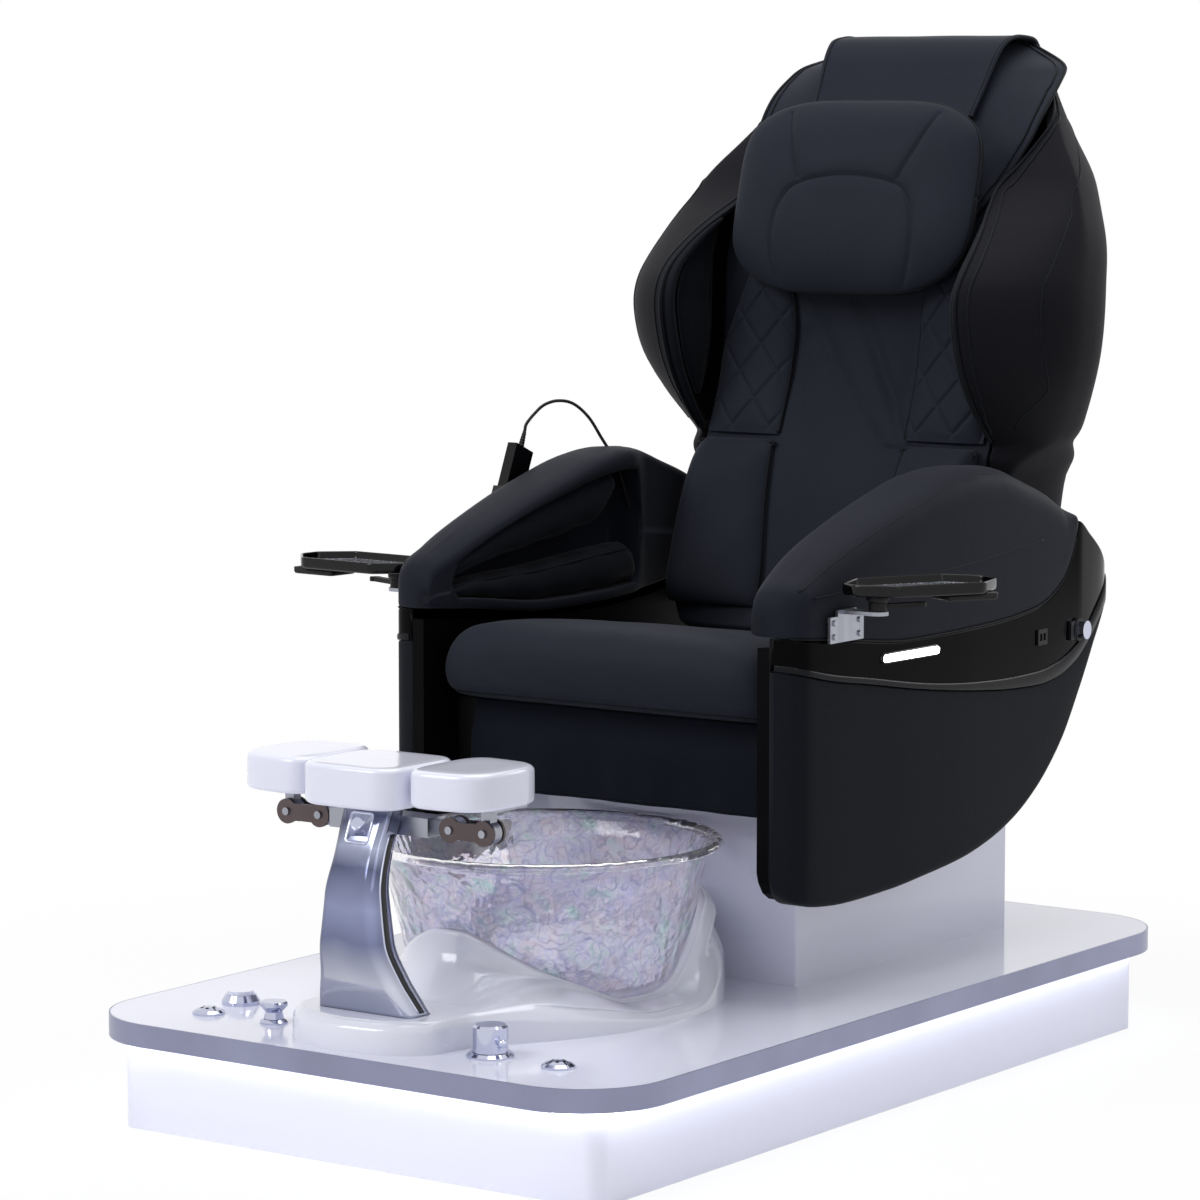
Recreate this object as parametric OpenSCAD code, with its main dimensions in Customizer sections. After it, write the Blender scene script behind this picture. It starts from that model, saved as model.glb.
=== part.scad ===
// Pedicure spa chair: a massage chair that slides on a pedestal, on a platform
// with a glass foot bowl, a footrest on a stand and the water fittings.
// Millimetres. +Z up, the chair faces -Y, +X is the sitter's left hand.
// The origin is the centre of the plinth's underside, on the floor.

/* [Platform] */
// Width of the deck from side to side
deck_w = 850; // [840:10:960]
// Length of the deck from front to back
deck_l = 1410; // [1400:10:1500]
// Height of the deck's top above the floor
deck_top = 150; // [140:5:200]
// Thickness of the deck board and its edge band
deck_t = 30; // [24:1:40]
// Corner radius of the deck
deck_r = 120; // [90:5:150]
// Thickness of the metal band round the deck's edge
band_t = 2; // [1.5:0.5:4]
// How far the plinth stands in from the deck's edge
plinth_inset = 45; // [40:1:60]
// Corner radius of the plinth
plinth_r = 22; // [18:1:40]
// Wall thickness of the plinth
plinth_wall = 15; // [12:1:16]
// Thickness of the plinth's floor
plinth_floor = 12; // [9:1:16]
// Width of the light strip under the deck's edge
strip_w = 10; // [6:1:14]
// Height of the light strip
strip_h = 5; // [3:1:8]

/* [Foot bowl] */
// Outer radius of the glass bowl's rim
bowl_r = 235; // [225:1:240]
// Height of the bowl's rim above the deck
bowl_h = 212; // [200:1:220]
// Wall thickness of the glass
glass_t = 8; // [6:0.5:10]
// Distance of the bowl's centre in front of the origin
bowl_y = 249; // [249:1:251]
// Height of the bowl's underside above the deck
bowl_lift = 8; // [8:1:10]
// Radius of the bowl's drain fitting
drain_r = 26; // [22:1:30]
// Height of the base's rear collar above the deck
collar_h = 138; // [120:1:145]
// Height of the foot that carries the stand, above the deck
foot_h = 40; // [34:1:44]

/* [Footrest] */
// Height of the stand's top above the foot
stand_h = 262; // [256:1:266]
// Height of the footrest's top above the floor
rest_top = 505; // [500:1:510]
// Thickness of the foot pads
pad_t = 47; // [40:1:50]
// Half width of the footrest's middle pad
mid_half = 75; // [70:1:78]
// Distance of a foot pad's outer edge from the middle
pad_reach = 196; // [188:1:200]
// Radius of the hinge discs
disc_r = 16; // [14:0.5:17]
// Distance between the two pins of a foot hinge
link_len = 52; // [50:1:54]
// Distance of the inner hinge pin from the middle
pin_x = 104; // [102:1:106]
// Height of the hinge pins above the floor
pin_z = 424; // [422:1:426]
// Radius of the hinge pins
pin_r = 5; // [4:0.5:6]

/* [Deck fittings] */
// Radius of the air and overflow grilles
grille_r = 21; // [18:0.5:24]
// Radius of the push button's housing
button_r = 25; // [23:0.5:28]
// Travel of the push button
button_travel = 4; // [3:0.5:5]
// Radius of the diverter knob
knob_r = 18; // [16:0.5:20]
// Height of the diverter knob
knob_h = 22; // [18:1:26]
// Radius of the mixer's handle
mixer_r = 22; // [20:0.5:24]
// Height of the mixer's handle
mixer_h = 34; // [30:1:40]

/* [Pedestal and slide] */
// Width of the pedestal box
pedestal_w = 480; // [460:2:490]
// Length of the pedestal box
pedestal_l = 545; // [538:1:552]
// Place of the pedestal's front face along Y
pedestal_front = -12; // [-12:1:-9]
// Height of the pedestal's top above the floor
pedestal_top = 385; // [380:1:386]
// Wall thickness of the pedestal box
pedestal_wall = 12; // [9:1:18]
// Distance between the two slide rails
rail_gap = 300; // [260:5:340]
// Width of a slide rail
rail_w = 20; // [16:1:24]
// Height of a slide rail
rail_h = 18; // [14:1:20]
// Running clearance round the rails
rail_play = 0.4; // [0.3:0.05:0.6]

/* [Seat and sides] */
// Half width between the inner faces of the sides
side_in = 272; // [268:1:276]
// Thickness of the inner side boards
board_t = 18; // [15:1:22]
// Wall thickness of the outer side shells
shell_t = 5; // [4:0.5:7]
// Half width of the seat cushion
seat_half = 262; // [250:1:263]
// Place of the seat cushion's front along Y
seat_front = -146; // [-150:1:-140]
// Place of the seat cushion's rear along Y
seat_rear = 340; // [330:1:342]
// Height of the cushion's crown above the floor
seat_top = 620; // [610:1:624]
// Thickness of the seat cushion
seat_t = 112; // [100:1:114]
// Diameter of the dial on the side trim
dial_d = 26; // [20:1:30]

/* [Back] */
// Height of the recline hinge above the floor
hinge_z = 530; // [528:1:532]
// Place of the recline hinge along Y
hinge_y = 440; // [438:1:442]
// Lean of the backrest from upright, in degrees
lean = 20; // [20:1:20]
// Wall thickness of the back shell
back_wall = 18; // [16:1:20]
// Thickness of the back's base pad
back_pad_t = 42; // [38:1:44]
// Diameter of a massage roller
roller_d = 50; // [46:1:52]

/* [Trays and handset] */
// Length of a tray
tray_l = 210; // [190:2:210]
// Width of a tray
tray_w = 114; // [108:2:118]
// Height of a tray's rim
tray_rim = 16; // [12:1:18]
// Underside height of the left tray above the floor
tray_z_left = 690; // [688:1:692]
// Underside height of the right tray above the floor
tray_z_right = 672; // [672:1:674]
// Diameter of the handset's cable
cable_d = 4.6; // [4:0.1:5]

/* [Hidden] */
$fn = 64;
gap = 0.4; // clearance between pieces that lie against each other
fit = 0.05; // radial clearance of a running fit
deck_low = deck_top - deck_t;
LEFT = 1;
RIGHT = -1;

// ---- helpers ----

// Mean point of a ring
function mean(ring) = ([for (p = ring) 1] * ring) / len(ring);

// Rounded rectangle outline with half sizes a and b, running counterclockwise
function rounded_ring(a, b, r, n = 3) = [
  for (q = [0:3], k = [0:n])
    let (t = 90 * (q + k / n), sx = (q == 0 || q == 3) ? 1 : -1, sy = q < 2 ? 1 : -1)
      [sx * (a - r) + r * cos(t), sy * (b - r) + r * sin(t)]
];

// Superellipse outline with half sizes a and b, e = 2 an ellipse and more is boxier
function oval_ring(a, b, e, n) = [
  for (k = [0:n - 1])
    let (t = 360 * k / n)
      [a * sign(cos(t)) * pow(abs(cos(t)), 2 / e), b * sign(sin(t)) * pow(abs(sin(t)), 2 / e)]
];

// Places a flat ring in space, in the XY, XZ or YZ plane
function at_z(ring, z, dx = 0, dy = 0) = [for (p = ring) [p[0] + dx, p[1] + dy, z]];
function at_y(ring, y, dx = 0, dz = 0) = [for (p = ring) [p[0] + dx, y, p[1] + dz]];
function at_x(ring, x, dy = 0, dz = 0) = [for (p = ring) [x, p[0] + dy, p[1] + dz]];

// Smooth step from 0 to 1 while v goes from a to b
function ease(v, a, b) = let (t = min(1, max(0, (v - a) / (b - a)))) t * t * (3 - 2 * t);

// Even steps from a to b
function steps(a, b, n) = [for (i = [0:n]) a + (b - a) * i / n];

// Steps from a to b that crowd together at both ends
function end_steps(a, b, n) = [for (i = [0:n]) a + (b - a) * (1 - cos(180 * i / n)) / 2];

// Closed solid through a list of rings with equal point counts
module loft(rings, flip = false) {
  n = len(rings[0]);
  m = len(rings);
  points = concat([for (r = rings, p = r) p], [mean(rings[0]), mean(rings[m - 1])]);
  sides = [
    for (i = [0:m - 2], j = [0:n - 1])
      let (k = (j + 1) % n, a = i * n + j, b = i * n + k, c = a + n, d = b + n)
        each [[a, c, d], [a, d, b]]
  ];
  low = [for (j = [0:n - 1]) [m * n, j, (j + 1) % n]];
  top = [for (j = [0:n - 1]) [m * n + 1, (m - 1) * n + (j + 1) % n, (m - 1) * n + j]];
  faces = concat(sides, low, top);
  polyhedron(points, flip ? [for (f = faces) [f[2], f[1], f[0]]] : faces);
}

// A piece on one side of the chair, or both
module on_side(side) {
  $side = side;
  if (side == LEFT) children();
  else mirror([1, 0, 0]) children();
}
module both_sides() {
  on_side(LEFT) children();
  on_side(RIGHT) children();
}

// Rounded rectangle drawn with true arcs
module rounded(w, l, r) {
  square([w - 2 * r, l], center = true);
  square([w, l - 2 * r], center = true);
  for (sx = [-1, 1], sy = [-1, 1])
    translate([sx * (w / 2 - r), sy * (l / 2 - r)]) circle(r);
}

module tube(r_out, r_in, h) {
  difference() {
    cylinder(r = r_out, h = h);
    translate([0, 0, -1]) cylinder(r = r_in, h = h + 2);
  }
}

// Cylinder along +Y from the origin
module pin_y(r, h) {
  rotate([-90, 0, 0]) cylinder(r = r, h = h);
}

// Cylinder along +X from the origin
module pin_x_axis(r, h) {
  rotate([0, 90, 0]) cylinder(r = r, h = h);
}

// Rounded box with upright corner arcs, its low corner face at z = 0
module slab(w, l, h, r) {
  linear_extrude(h) rounded(w, l, r);
}

// ---- places of the deck fittings ----
grille_at = [279, 103 - deck_l / 2];
button_at = [-288, 178 - deck_l / 2];
diverter_at = [-173, -598];
mixer_at = [173, -598];
fitting_hole = 14; // radius of the holes for the fittings' necks
neck_r = fitting_hole - gap;
grille_neck = 17; // radius of a grille's neck
cable_hole = 30; // radius of the cable way into the pedestal
drain_hole = drain_r + 4;
button_hole = 18; // radius of the hole for the push button's housing
base_flange = 6; // height of the flanges that sit on the deck

// ---- platform ----

module plinth_box() {
  w = deck_w - 2 * plinth_inset;
  l = deck_l - 2 * plinth_inset;
  color("whitesmoke") difference() {
    slab(w, l, deck_low, plinth_r);
    translate([0, 0, plinth_floor])
      slab(w - 2 * plinth_wall, l - 2 * plinth_wall, deck_low, plinth_r - plinth_wall);
  }
}

module deck_board() {
  color("white") difference() {
    translate([0, 0, deck_low])
      slab(deck_w - 2 * band_t, deck_l - 2 * band_t, deck_t, deck_r - band_t);
    for (s = [-1, 1])
      translate([s * grille_at[0], grille_at[1], 0]) cylinder(r = grille_neck + gap, h = 2 * deck_top);
    for (p = [diverter_at, mixer_at])
      translate([p[0], p[1], 0]) cylinder(r = fitting_hole, h = 2 * deck_top);
    translate([button_at[0], button_at[1], 0]) cylinder(r = button_hole, h = 2 * deck_top);
    translate([0, -bowl_y, 0]) cylinder(r = drain_hole, h = 2 * deck_top);
    translate([0, pedestal_front + pedestal_l / 2, 0]) cylinder(r = cable_hole, h = 2 * deck_top);
  }
}

module edge_band() {
  color("silver") translate([0, 0, deck_low]) linear_extrude(deck_t) difference() {
    rounded(deck_w, deck_l, deck_r);
    rounded(deck_w - 2 * band_t, deck_l - 2 * band_t, deck_r - band_t);
  }
}

module led_strip() {
  mid = plinth_inset / 2;
  w = deck_w - 2 * mid;
  l = deck_l - 2 * mid;
  r = deck_r / 2; // runs between the plinth's corner and the deck's edge
  color("aliceblue") translate([0, 0, deck_low - strip_h]) linear_extrude(strip_h) difference() {
    rounded(w, l, r);
    rounded(w - 2 * strip_w, l - 2 * strip_w, r - strip_w);
  }
}

// ---- foot bowl ----

// Outer radius of the bowl against the height above its underside
bowl_curve = [
  [0, 78], [3, 122], [8, 148], [16, 164], [28, 174], [52, 182], [85, 191],
  [130, 203], [170, 213], [bowl_h - bowl_lift - 13, 222]
];
bowl_bottom = deck_top + bowl_lift;
rim_r = 7.5; // radius of the rolled rim
rim_z = deck_top + bowl_h - rim_r;

module glass_bowl() {
  inner = [for (p = bowl_curve) [p[1] - glass_t, p[0] + glass_t * (p[1] < 165 ? 1 : 0.35)]];
  outer = [for (p = bowl_curve) [p[1], p[0]]];
  rim_mid = bowl_r - rim_r;
  roll = [for (a = [200:-30:-10]) [rim_mid - rim_r * cos(a), rim_z - bowl_bottom + rim_r * sin(a)]];
  outline = concat(
    [[drain_r - 4, 0]], outer, roll,
    [for (i = [len(inner) - 1:-1:0]) inner[i]],
    [[drain_r - 4, glass_t]]
  );
  color("lightcyan", 0.5) translate([0, -bowl_y, bowl_bottom]) rotate_extrude($fn = 96) polygon(outline);
}

module bowl_drain() {
  neck = drain_r - 4 - gap;
  color("silver") translate([0, -bowl_y, 0]) difference() {
    union() {
      translate([0, 0, bowl_bottom + glass_t + 0.2]) cylinder(r = drain_r, h = 3);
      translate([0, 0, deck_low - 20]) cylinder(r = neck, h = bowl_bottom + glass_t + 2 - deck_low + 20);
    }
    translate([0, 0, deck_low - 21]) cylinder(r = neck - 4, h = bowl_bottom + glass_t - deck_low + 20);
    for (a = [0:45:315])
      rotate(a) translate([11, 0, bowl_bottom - 5]) cylinder(r = 2.5, h = 30, $fn = 24);
  }
}

// Plan radius of the base on the deck, against the angle from straight ahead
base_plan = [
  [0, 436], [8, 430], [13, 416], [16, 402], [20, 352], [30, 313], [42, 288], [54, 270],
  [77, 246], [98, 236], [126, 236], [137, 242], [150, 240], [165, 233], [180, 228.5]
];
// Height of the base's upper lip above the deck, against the same angle
base_lip = [
  [0, 119], [19, 95], [34, 70], [53, 45], [75, 22], [95, 22], [112, 70],
  [128, collar_h - 8], [150, collar_h], [180, collar_h]
];
base_sides = 60;

function bowl_radius(z) = lookup(z, bowl_curve);
function base_ring(f_r, f_z) = [
  for (k = [0:base_sides - 1])
    let (
      t = 360 * k / base_sides,
      b = abs(t > 180 ? 360 - t : t),
      plan = lookup(b, base_plan),
      lip = lookup(b, base_lip),
      hold = bowl_radius(lip - bowl_lift) + gap,
      front = 1 - ease(b, 16, 46),
      r = f_r(plan, hold, front),
      z = f_z(lip, front)
    )
      [r * sin(t), -bowl_y - r * cos(t), deck_top + z]
];

// The bowl's outside with its clearance, which the base is hollowed by
module bowl_space() {
  translate([0, -bowl_y, bowl_bottom]) rotate_extrude($fn = 96) polygon(concat(
    [[0, -gap]],
    [for (p = bowl_curve) [p[1] + gap, p[0] - (p[0] < 10 ? gap : 0)]],
    [[bowl_r, bowl_h], [0, bowl_h]]
  ));
}

module bowl_base() {
  rings = [
    base_ring(function (p, h, f) p, function (l, f) 0),
    base_ring(function (p, h, f) p - 5, function (l, f) f * (foot_h - 10) + (1 - f) * l * 0.42),
    base_ring(function (p, h, f) p - 14, function (l, f) f * foot_h + (1 - f) * l * 0.62),
    base_ring(
      function (p, h, f) f * 272 + (1 - f) * (h + 16), function (l, f) f * foot_h + (1 - f) * (l - 5)
    ),
    base_ring(function (p, h, f) h + 9 + f * 8, function (l, f) l - 1.5),
    base_ring(function (p, h, f) h + 2, function (l, f) l),
    base_ring(function (p, h, f) 84, function (l, f) bowl_lift - gap)
  ];
  color("white") difference() {
    loft(rings);
    bowl_space();
    translate([0, -bowl_y, deck_top - 1]) cylinder(r = drain_hole, h = 30);
  }
}

// ---- footrest stand ----

foot_z = deck_top + foot_h;
// Stand's half width, middle and half depth against the height above the foot
stand_half = [[0, 76], [20, 68], [45, 58], [95, 46], [150, 40], [205, 36], [250, 38], [262, 38]];
stand_mid = [[0, -609], [45, -628], [95, -643], [150, -643], [205, -628], [250, -610], [262, -606]];
stand_deep = [[0, 24], [45, 25], [95, 25], [150, 23], [205, 21], [262, 20]];
stand_levels = [0, 20, 45, 70, 95, 125, 150, 178, 205, 228, 250, 262];
stand_scale = stand_h / 262;

module foot_stand() {
  color("lightsteelblue") difference() {
    loft([
      for (z = stand_levels)
        at_z(
          rounded_ring(lookup(z, stand_half), lookup(z, stand_deep), 14),
          foot_z + z * stand_scale, 0, lookup(z, stand_mid)
        )
    ]);
    // notch for the footrest's cross bar
    translate([-90, bar_front - gap, bar_low - gap]) cube([180, 60, bar_h + 2 * gap]);
  }
}

// Dark strips let in along both sides of the stand
module stand_inlays() {
  inlay_half = 5;
  inlay_t = 1.5;
  color("black") both_sides() loft([
    for (z = stand_levels)
      if (z < 229) at_z(
        rounded_ring(inlay_t / 2, inlay_half, 0.6, 1),
        foot_z + z * stand_scale + 0.5,
        lookup(z, stand_half) + inlay_t / 2 + 0.05, lookup(z, stand_mid) + 2
      )
  ]);
}

pad_low = rest_top - pad_t;
hinge_front = -590; // front face of the foot hinges along Y
bar_front = -600; // front face of the footrest's cross bar along Y
bar_low = pin_z - 11; // underside of the cross bar
bar_h = 24; // height of the cross bar
plate_t = 4; // thickness of the hinge's link plates
boss_l = 22; // distance between a hinge's two plates, front face to front face
pad_pin_x = pin_x + link_len;

// Middle pad: a deep block with a rounded nose, screwed on the stand
module footrest_centre() {
  base = foot_z + stand_h + gap;
  color("white") loft([
    for (v = [[base, 9], [base + 8, 2], [rest_top - 14, 0], [rest_top - 5, 3], [rest_top, 11]])
      at_z(rounded_ring(mid_half - gap - v[1], 75 - v[1], 34, 5), v[0], 0, -599)
  ]);
}

// Cross bar with an ear and a pin at each end
module foot_brackets() {
  color("silver") union() {
    translate([-78, bar_front, bar_low]) cube([156, 36, bar_h]);
    both_sides() {
      translate([76, hinge_front + 6, pin_z - 9]) cube([30, 14, 18]);
      translate([pin_x, hinge_front + 6, pin_z]) pin_y(disc_r - 1, 14);
      translate([pin_x, hinge_front - 3, pin_z]) pin_y(pin_r, 32);
    }
  }
}

// Two plates joined by a spacer, each bored for both pins
module foot_link(side) {
  color("gray") on_side(side) for (y = [hinge_front, hinge_front + boss_l])
    translate([0, y, 0]) difference() {
      union() {
        translate([pin_x, 0, pin_z]) pin_y(disc_r, plate_t);
        translate([pad_pin_x, 0, pin_z]) pin_y(disc_r, plate_t);
        translate([pin_x, 0, pin_z - 11]) cube([link_len, plate_t, 22]);
      }
      for (x = [pin_x, pad_pin_x])
        translate([x, -1, pin_z]) pin_y(pin_r + fit, plate_t + 2);
    }
}

// Knuckle and plate under a foot pad
module pad_bracket(side) {
  color("silver") on_side(side) union() {
    translate([pad_pin_x, hinge_front + 6, pin_z]) pin_y(disc_r - 1, 14);
    translate([pad_pin_x, hinge_front - 3, pin_z]) pin_y(pin_r, 32);
    translate([pad_pin_x - 7, hinge_front + 6, pin_z]) cube([14, 14, pad_low - 4.2 - pin_z]);
    translate([pad_pin_x - 34, hinge_front - 16, pad_low - 4.2]) cube([62, 70, 4]);
  }
}

pad_mid_y = -577; // middle of a foot pad along Y
function foot_pad_ring(inset, z) = [
  for (k = [0:27])
    let (
      t = 360 * k / 28,
      a = (pad_reach - mid_half) / 2,
      c = (pad_reach + mid_half) / 2,
      e = cos(t) > 0 ? 3 : 5,
      x = (a - inset) * sign(cos(t)) * pow(abs(cos(t)), 2 / e),
      y = (78 - 6 * ease(x, -a, a) - inset) * sign(sin(t)) * pow(abs(sin(t)), 2 / 3)
    )
      [c + x, pad_mid_y + y, z]
];

module foot_pad(side) {
  color("white") on_side(side) loft([
    for (v = [[6, pad_low], [0, pad_low + 6], [0, rest_top - 14], [3, rest_top - 5], [12, rest_top]])
      foot_pad_ring(v[0], v[1])
  ]);
}

// ---- deck fittings ----

module drain_grilles() {
  color("silver") both_sides() translate([grille_at[0], grille_at[1], deck_top]) difference() {
    union() {
      rotate_extrude() polygon([[0, 0], [grille_r, 0], [grille_r, 3], [grille_r - 4, 6], [9, 9], [0, 9.5]]);
      translate([0, 0, -deck_t - 10]) cylinder(r = grille_neck, h = deck_t + 10.5);
    }
    translate([0, 0, -deck_t - 11]) cylinder(r = grille_neck - 4, h = deck_t + 12);
    for (a = [0:60:300])
      rotate(a) translate([8.5, 0, -1]) cylinder(r = 2.6, h = 20, $fn = 24);
  }
}

// The push button's housing, the diverter's flange and the mixer's flange
cap_r = button_r - 8; // radius of the push button's cap
stem_r = 6; // radius of the turning stems
module fitting_bases() {
  color("silver") {
    translate([button_at[0], button_at[1], deck_top]) difference() {
      union() {
        rotate_extrude() polygon([[0, 0], [button_r, 0], [button_r, 5], [button_r - 5, 13], [0, 13]]);
        translate([0, 0, -deck_t - 18]) cylinder(r = button_hole - gap, h = deck_t + 18);
      }
      translate([0, 0, -20]) cylinder(r = cap_r - 3 + 0.3, h = 40);
      translate([0, 0, 3]) cylinder(r = cap_r + 0.3, h = 20);
    }
    for (p = [[diverter_at, knob_r], [mixer_at, mixer_r + 8]])
      translate([p[0][0], p[0][1], deck_top]) difference() {
        union() {
          rotate_extrude() polygon([[0, 0], [p[1], 0], [p[1], 2.5], [p[1] - 4, base_flange], [0, base_flange]]);
          translate([0, 0, -deck_t]) cylinder(r = neck_r, h = deck_t);
        }
        translate([0, 0, -deck_t - 1]) cylinder(r = stem_r + fit, h = deck_t + 20);
      }
  }
}

button_up = deck_top + 5 + button_travel; // underside of the cap at rest
module button_cap() {
  color("white") translate([button_at[0], button_at[1], 0]) union() {
    translate([0, 0, button_up]) cylinder(r = cap_r, h = 9);
    translate([0, 0, button_up - 22]) cylinder(r = cap_r - 3, h = 22.5);
  }
}

stem_low = deck_low - 6; // lower end of the turning stems
module diverter_knob() {
  z = deck_top + base_flange + gap;
  color("silver") translate([diverter_at[0], diverter_at[1], 0]) union() {
    translate([0, 0, z]) rotate_extrude() polygon([
      [0, 0], [knob_r - 5, 0], [knob_r - 7, knob_h * 0.4], [knob_r, knob_h * 0.75],
      [knob_r, knob_h - 2], [knob_r - 2, knob_h], [0, knob_h]
    ]);
    translate([0, 0, stem_low]) cylinder(r = stem_r, h = z + 1 - stem_low);
  }
}

module mixer_handle() {
  z = deck_top + base_flange + gap;
  lever_z = z + mixer_h * 0.45;
  color("silver") translate([mixer_at[0], mixer_at[1], 0]) union() {
    translate([0, 0, z]) rotate_extrude() polygon([
      [0, 0], [mixer_r, 0], [mixer_r, mixer_h - 3], [mixer_r - 3, mixer_h], [0, mixer_h]
    ]);
    translate([0, 0, stem_low]) cylinder(r = stem_r, h = z + 1 - stem_low);
    translate([0, 0, lever_z]) rotate(-25) union() {
      pin_x_axis(3.2, mixer_r + 10);
      translate([mixer_r + 10, 0, 0]) sphere(r = 5.5, $fn = 32);
    }
  }
}

valve_h = 46; // height of a valve body under the deck
module valve_bodies() {
  color("goldenrod") for (p = [diverter_at, mixer_at])
    translate([p[0], p[1], deck_low - 6.5 - valve_h]) union() {
      cylinder(r = 18, h = valve_h);
      translate([-30, 0, valve_h / 2]) pin_x_axis(9, 60);
      translate([0, -26, valve_h / 2]) pin_y(9, 26);
    }
}

module drain_pump() {
  color("dimgray") translate([0, -bowl_y, plinth_floor]) union() {
    cylinder(r = 46, h = 34);
    translate([0, 0, 17]) pin_x_axis(15, 120);
    translate([60, 0, 34]) pin_x_axis(32, 90);
    for (x = [70, 130])
      translate([x - 6, -30, 0]) cube([12, 60, 12]);
  }
}

// ---- pedestal and slide ----

pedestal_mid = pedestal_front + pedestal_l / 2;

module pedestal_box() {
  h = pedestal_top - deck_top;
  color("white") translate([0, pedestal_mid, deck_top]) difference() {
    slab(pedestal_w, pedestal_l, h, 4);
    translate([0, 0, -pedestal_wall])
      slab(pedestal_w - 2 * pedestal_wall, pedestal_l - 2 * pedestal_wall, h, 3);
    cylinder(r = cable_hole, h = 2 * h);
  }
}

module control_box() {
  color("gray") translate([110, pedestal_mid - 60, deck_top]) union() {
    translate([0, 0, 37.5]) cube([120, 200, 75], center = true);
    translate([-60, 0, 30]) rotate([0, -90, 0]) cylinder(r = 9, h = 16);
  }
}

rail_front = 56; // distance of the rails behind the pedestal's front face
rail_l = pedestal_l - rail_front - 20;
rail_y = pedestal_front + rail_front;
module slide_rails() {
  color("silver") for (s = [-1, 1])
    translate([s * rail_gap / 2 - rail_w / 2, rail_y, pedestal_top])
      cube([rail_w, rail_l, rail_h]);
}

block_w = rail_w + 24;
block_l = 70;
block_top = pedestal_top + rail_h + 12;
carriage_front = rail_y + 2;
carriage_rear = carriage_front + 238;
module slide_carriage() {
  z = pedestal_top + rail_play;
  color("slategray") union() {
    for (s = [-1, 1], y = [carriage_front, carriage_rear])
      translate([s * rail_gap / 2, y, z]) difference() {
        translate([-block_w / 2, 0, 0]) cube([block_w, block_l, block_top - z]);
        translate([-rail_w / 2 - rail_play, -1, -1])
          cube([rail_w + 2 * rail_play, block_l + 2, rail_h + 1]);
      }
    for (y = [carriage_front + 10, carriage_rear + 10])
      translate([-rail_gap / 2, y, block_top - 8]) cube([rail_gap, 50, 8]);
  }
}

// ---- seat ----

frame_low = block_top + gap;
frame_tube = 30;
frame_half = side_in - gap;
frame_front = -79;
frame_l = 440;
seat_pan_t = 12;
pan_low = seat_top - seat_t - gap - seat_pan_t;
ear_t = 8; // thickness of the recline ears
ear_x = side_in - 1.6 - ear_t; // inner face of a recline ear
hinge_r = 8; // radius of the recline hinge's pin
actuator_r = 22;
act_z = hinge_z - 75; // height of the actuator's axis

// Welded tube frame under a plywood seat pan, with the two recline ears
module seat_frame() {
  color("dimgray") difference() {
    union() {
      for (x = [-frame_half, -rail_gap / 2 - 15, rail_gap / 2 - 15, frame_half - frame_tube])
        translate([x, frame_front, frame_low]) cube([frame_tube, frame_l, frame_tube]);
      for (y = [frame_front, frame_front + frame_l - frame_tube])
        translate([-frame_half, y, frame_low]) cube([2 * frame_half, frame_tube, frame_tube - 6]);
      translate([-rail_gap / 2, -20, frame_low])
        cube([rail_gap, 70, act_z - actuator_r - gap - frame_low]);
      for (x = [-frame_half, frame_half - frame_tube], y = [frame_front, 120, 310])
        translate([x, y, frame_low]) cube([frame_tube, frame_tube, pan_low + 1 - frame_low]);
      translate([-frame_half, frame_front, pan_low])
        cube([2 * frame_half, seat_rear - 8 - frame_front, seat_pan_t]);
      both_sides() {
        translate([ear_x, 320, frame_low]) cube([ear_t, hinge_y + 26 - 320, frame_tube]);
        translate([ear_x, hinge_y - 26, frame_low]) cube([ear_t, 52, hinge_z - frame_low]);
        translate([ear_x, hinge_y, hinge_z]) pin_x_axis(26, ear_t);
      }
    }
    translate([-300, hinge_y, hinge_z]) pin_x_axis(hinge_r + fit, 600);
  }
}

// Crown height of the cushion against Y
seat_line = [
  [seat_front, 0], [-110, 1], [-60, 2], [40, -8], [200, -30], [280, -42], [seat_rear, -50]
];
function seat_ring(x) =
  let (
    u = abs(x) / seat_half,
    crown = 8 * (1 - u * u),
    side = pow(max(0, 1 - pow(u, 8)), 0.5),
    low = seat_top - seat_t,
    front = seat_front + 34 * (1 - side),
    rear = seat_rear - 20 * (1 - side),
    top = function (y) seat_top - 8 + lookup(y, seat_line) + crown - 38 * (1 - side),
    nose = 46
  )
    [
      [front + 60, low], [rear - 8, low], [rear, low + 10], [rear, top(rear) - 12],
      [rear - 10, top(rear)],
      for (y = [280, 200, 120, 40]) [y, top(y)],
      for (a = [90:18:252])
        [
          front + nose + nose * cos(a),
          (low + 6 + top(front + nose)) / 2 + (top(front + nose) - low - 6) / 2 * sin(a)
        ],
      [front + 40, low + 2]
    ];

module seat_cushion() {
  color("black") loft([
    for (x = end_steps(-seat_half, seat_half, 16))
      [for (p = seat_ring(x)) [x, p[0], p[1]]]
  ]);
}

// Cloth skirt that hangs from the seat's front edge, in soft folds
skirt_top = seat_top - seat_t - gap;
skirt_low = pedestal_top + 2;
skirt_half = 238;
module front_skirt() {
  thick = 4;
  folds = 3;
  wave = function (x, z) 2.5 * ease(skirt_top - z, 0, 90) * sin(360 * folds * (x + skirt_half) / (2 * skirt_half));
  front = function (z) frame_front - 4 - gap - 12 * ease(skirt_top - z, 0, 60);
  color("black") loft([
    for (x = steps(-skirt_half, skirt_half, 30))
      concat(
        [for (z = [skirt_low, 425, 465, skirt_top]) [x, front(z) + wave(x, z), z]],
        [for (z = [skirt_top, 465, 425, skirt_low]) [x, front(z) + wave(x, z) + thick, z]]
      )
  ], true);
}

// ---- sides ----

side_front = -157;
side_rear = 690;
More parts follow.
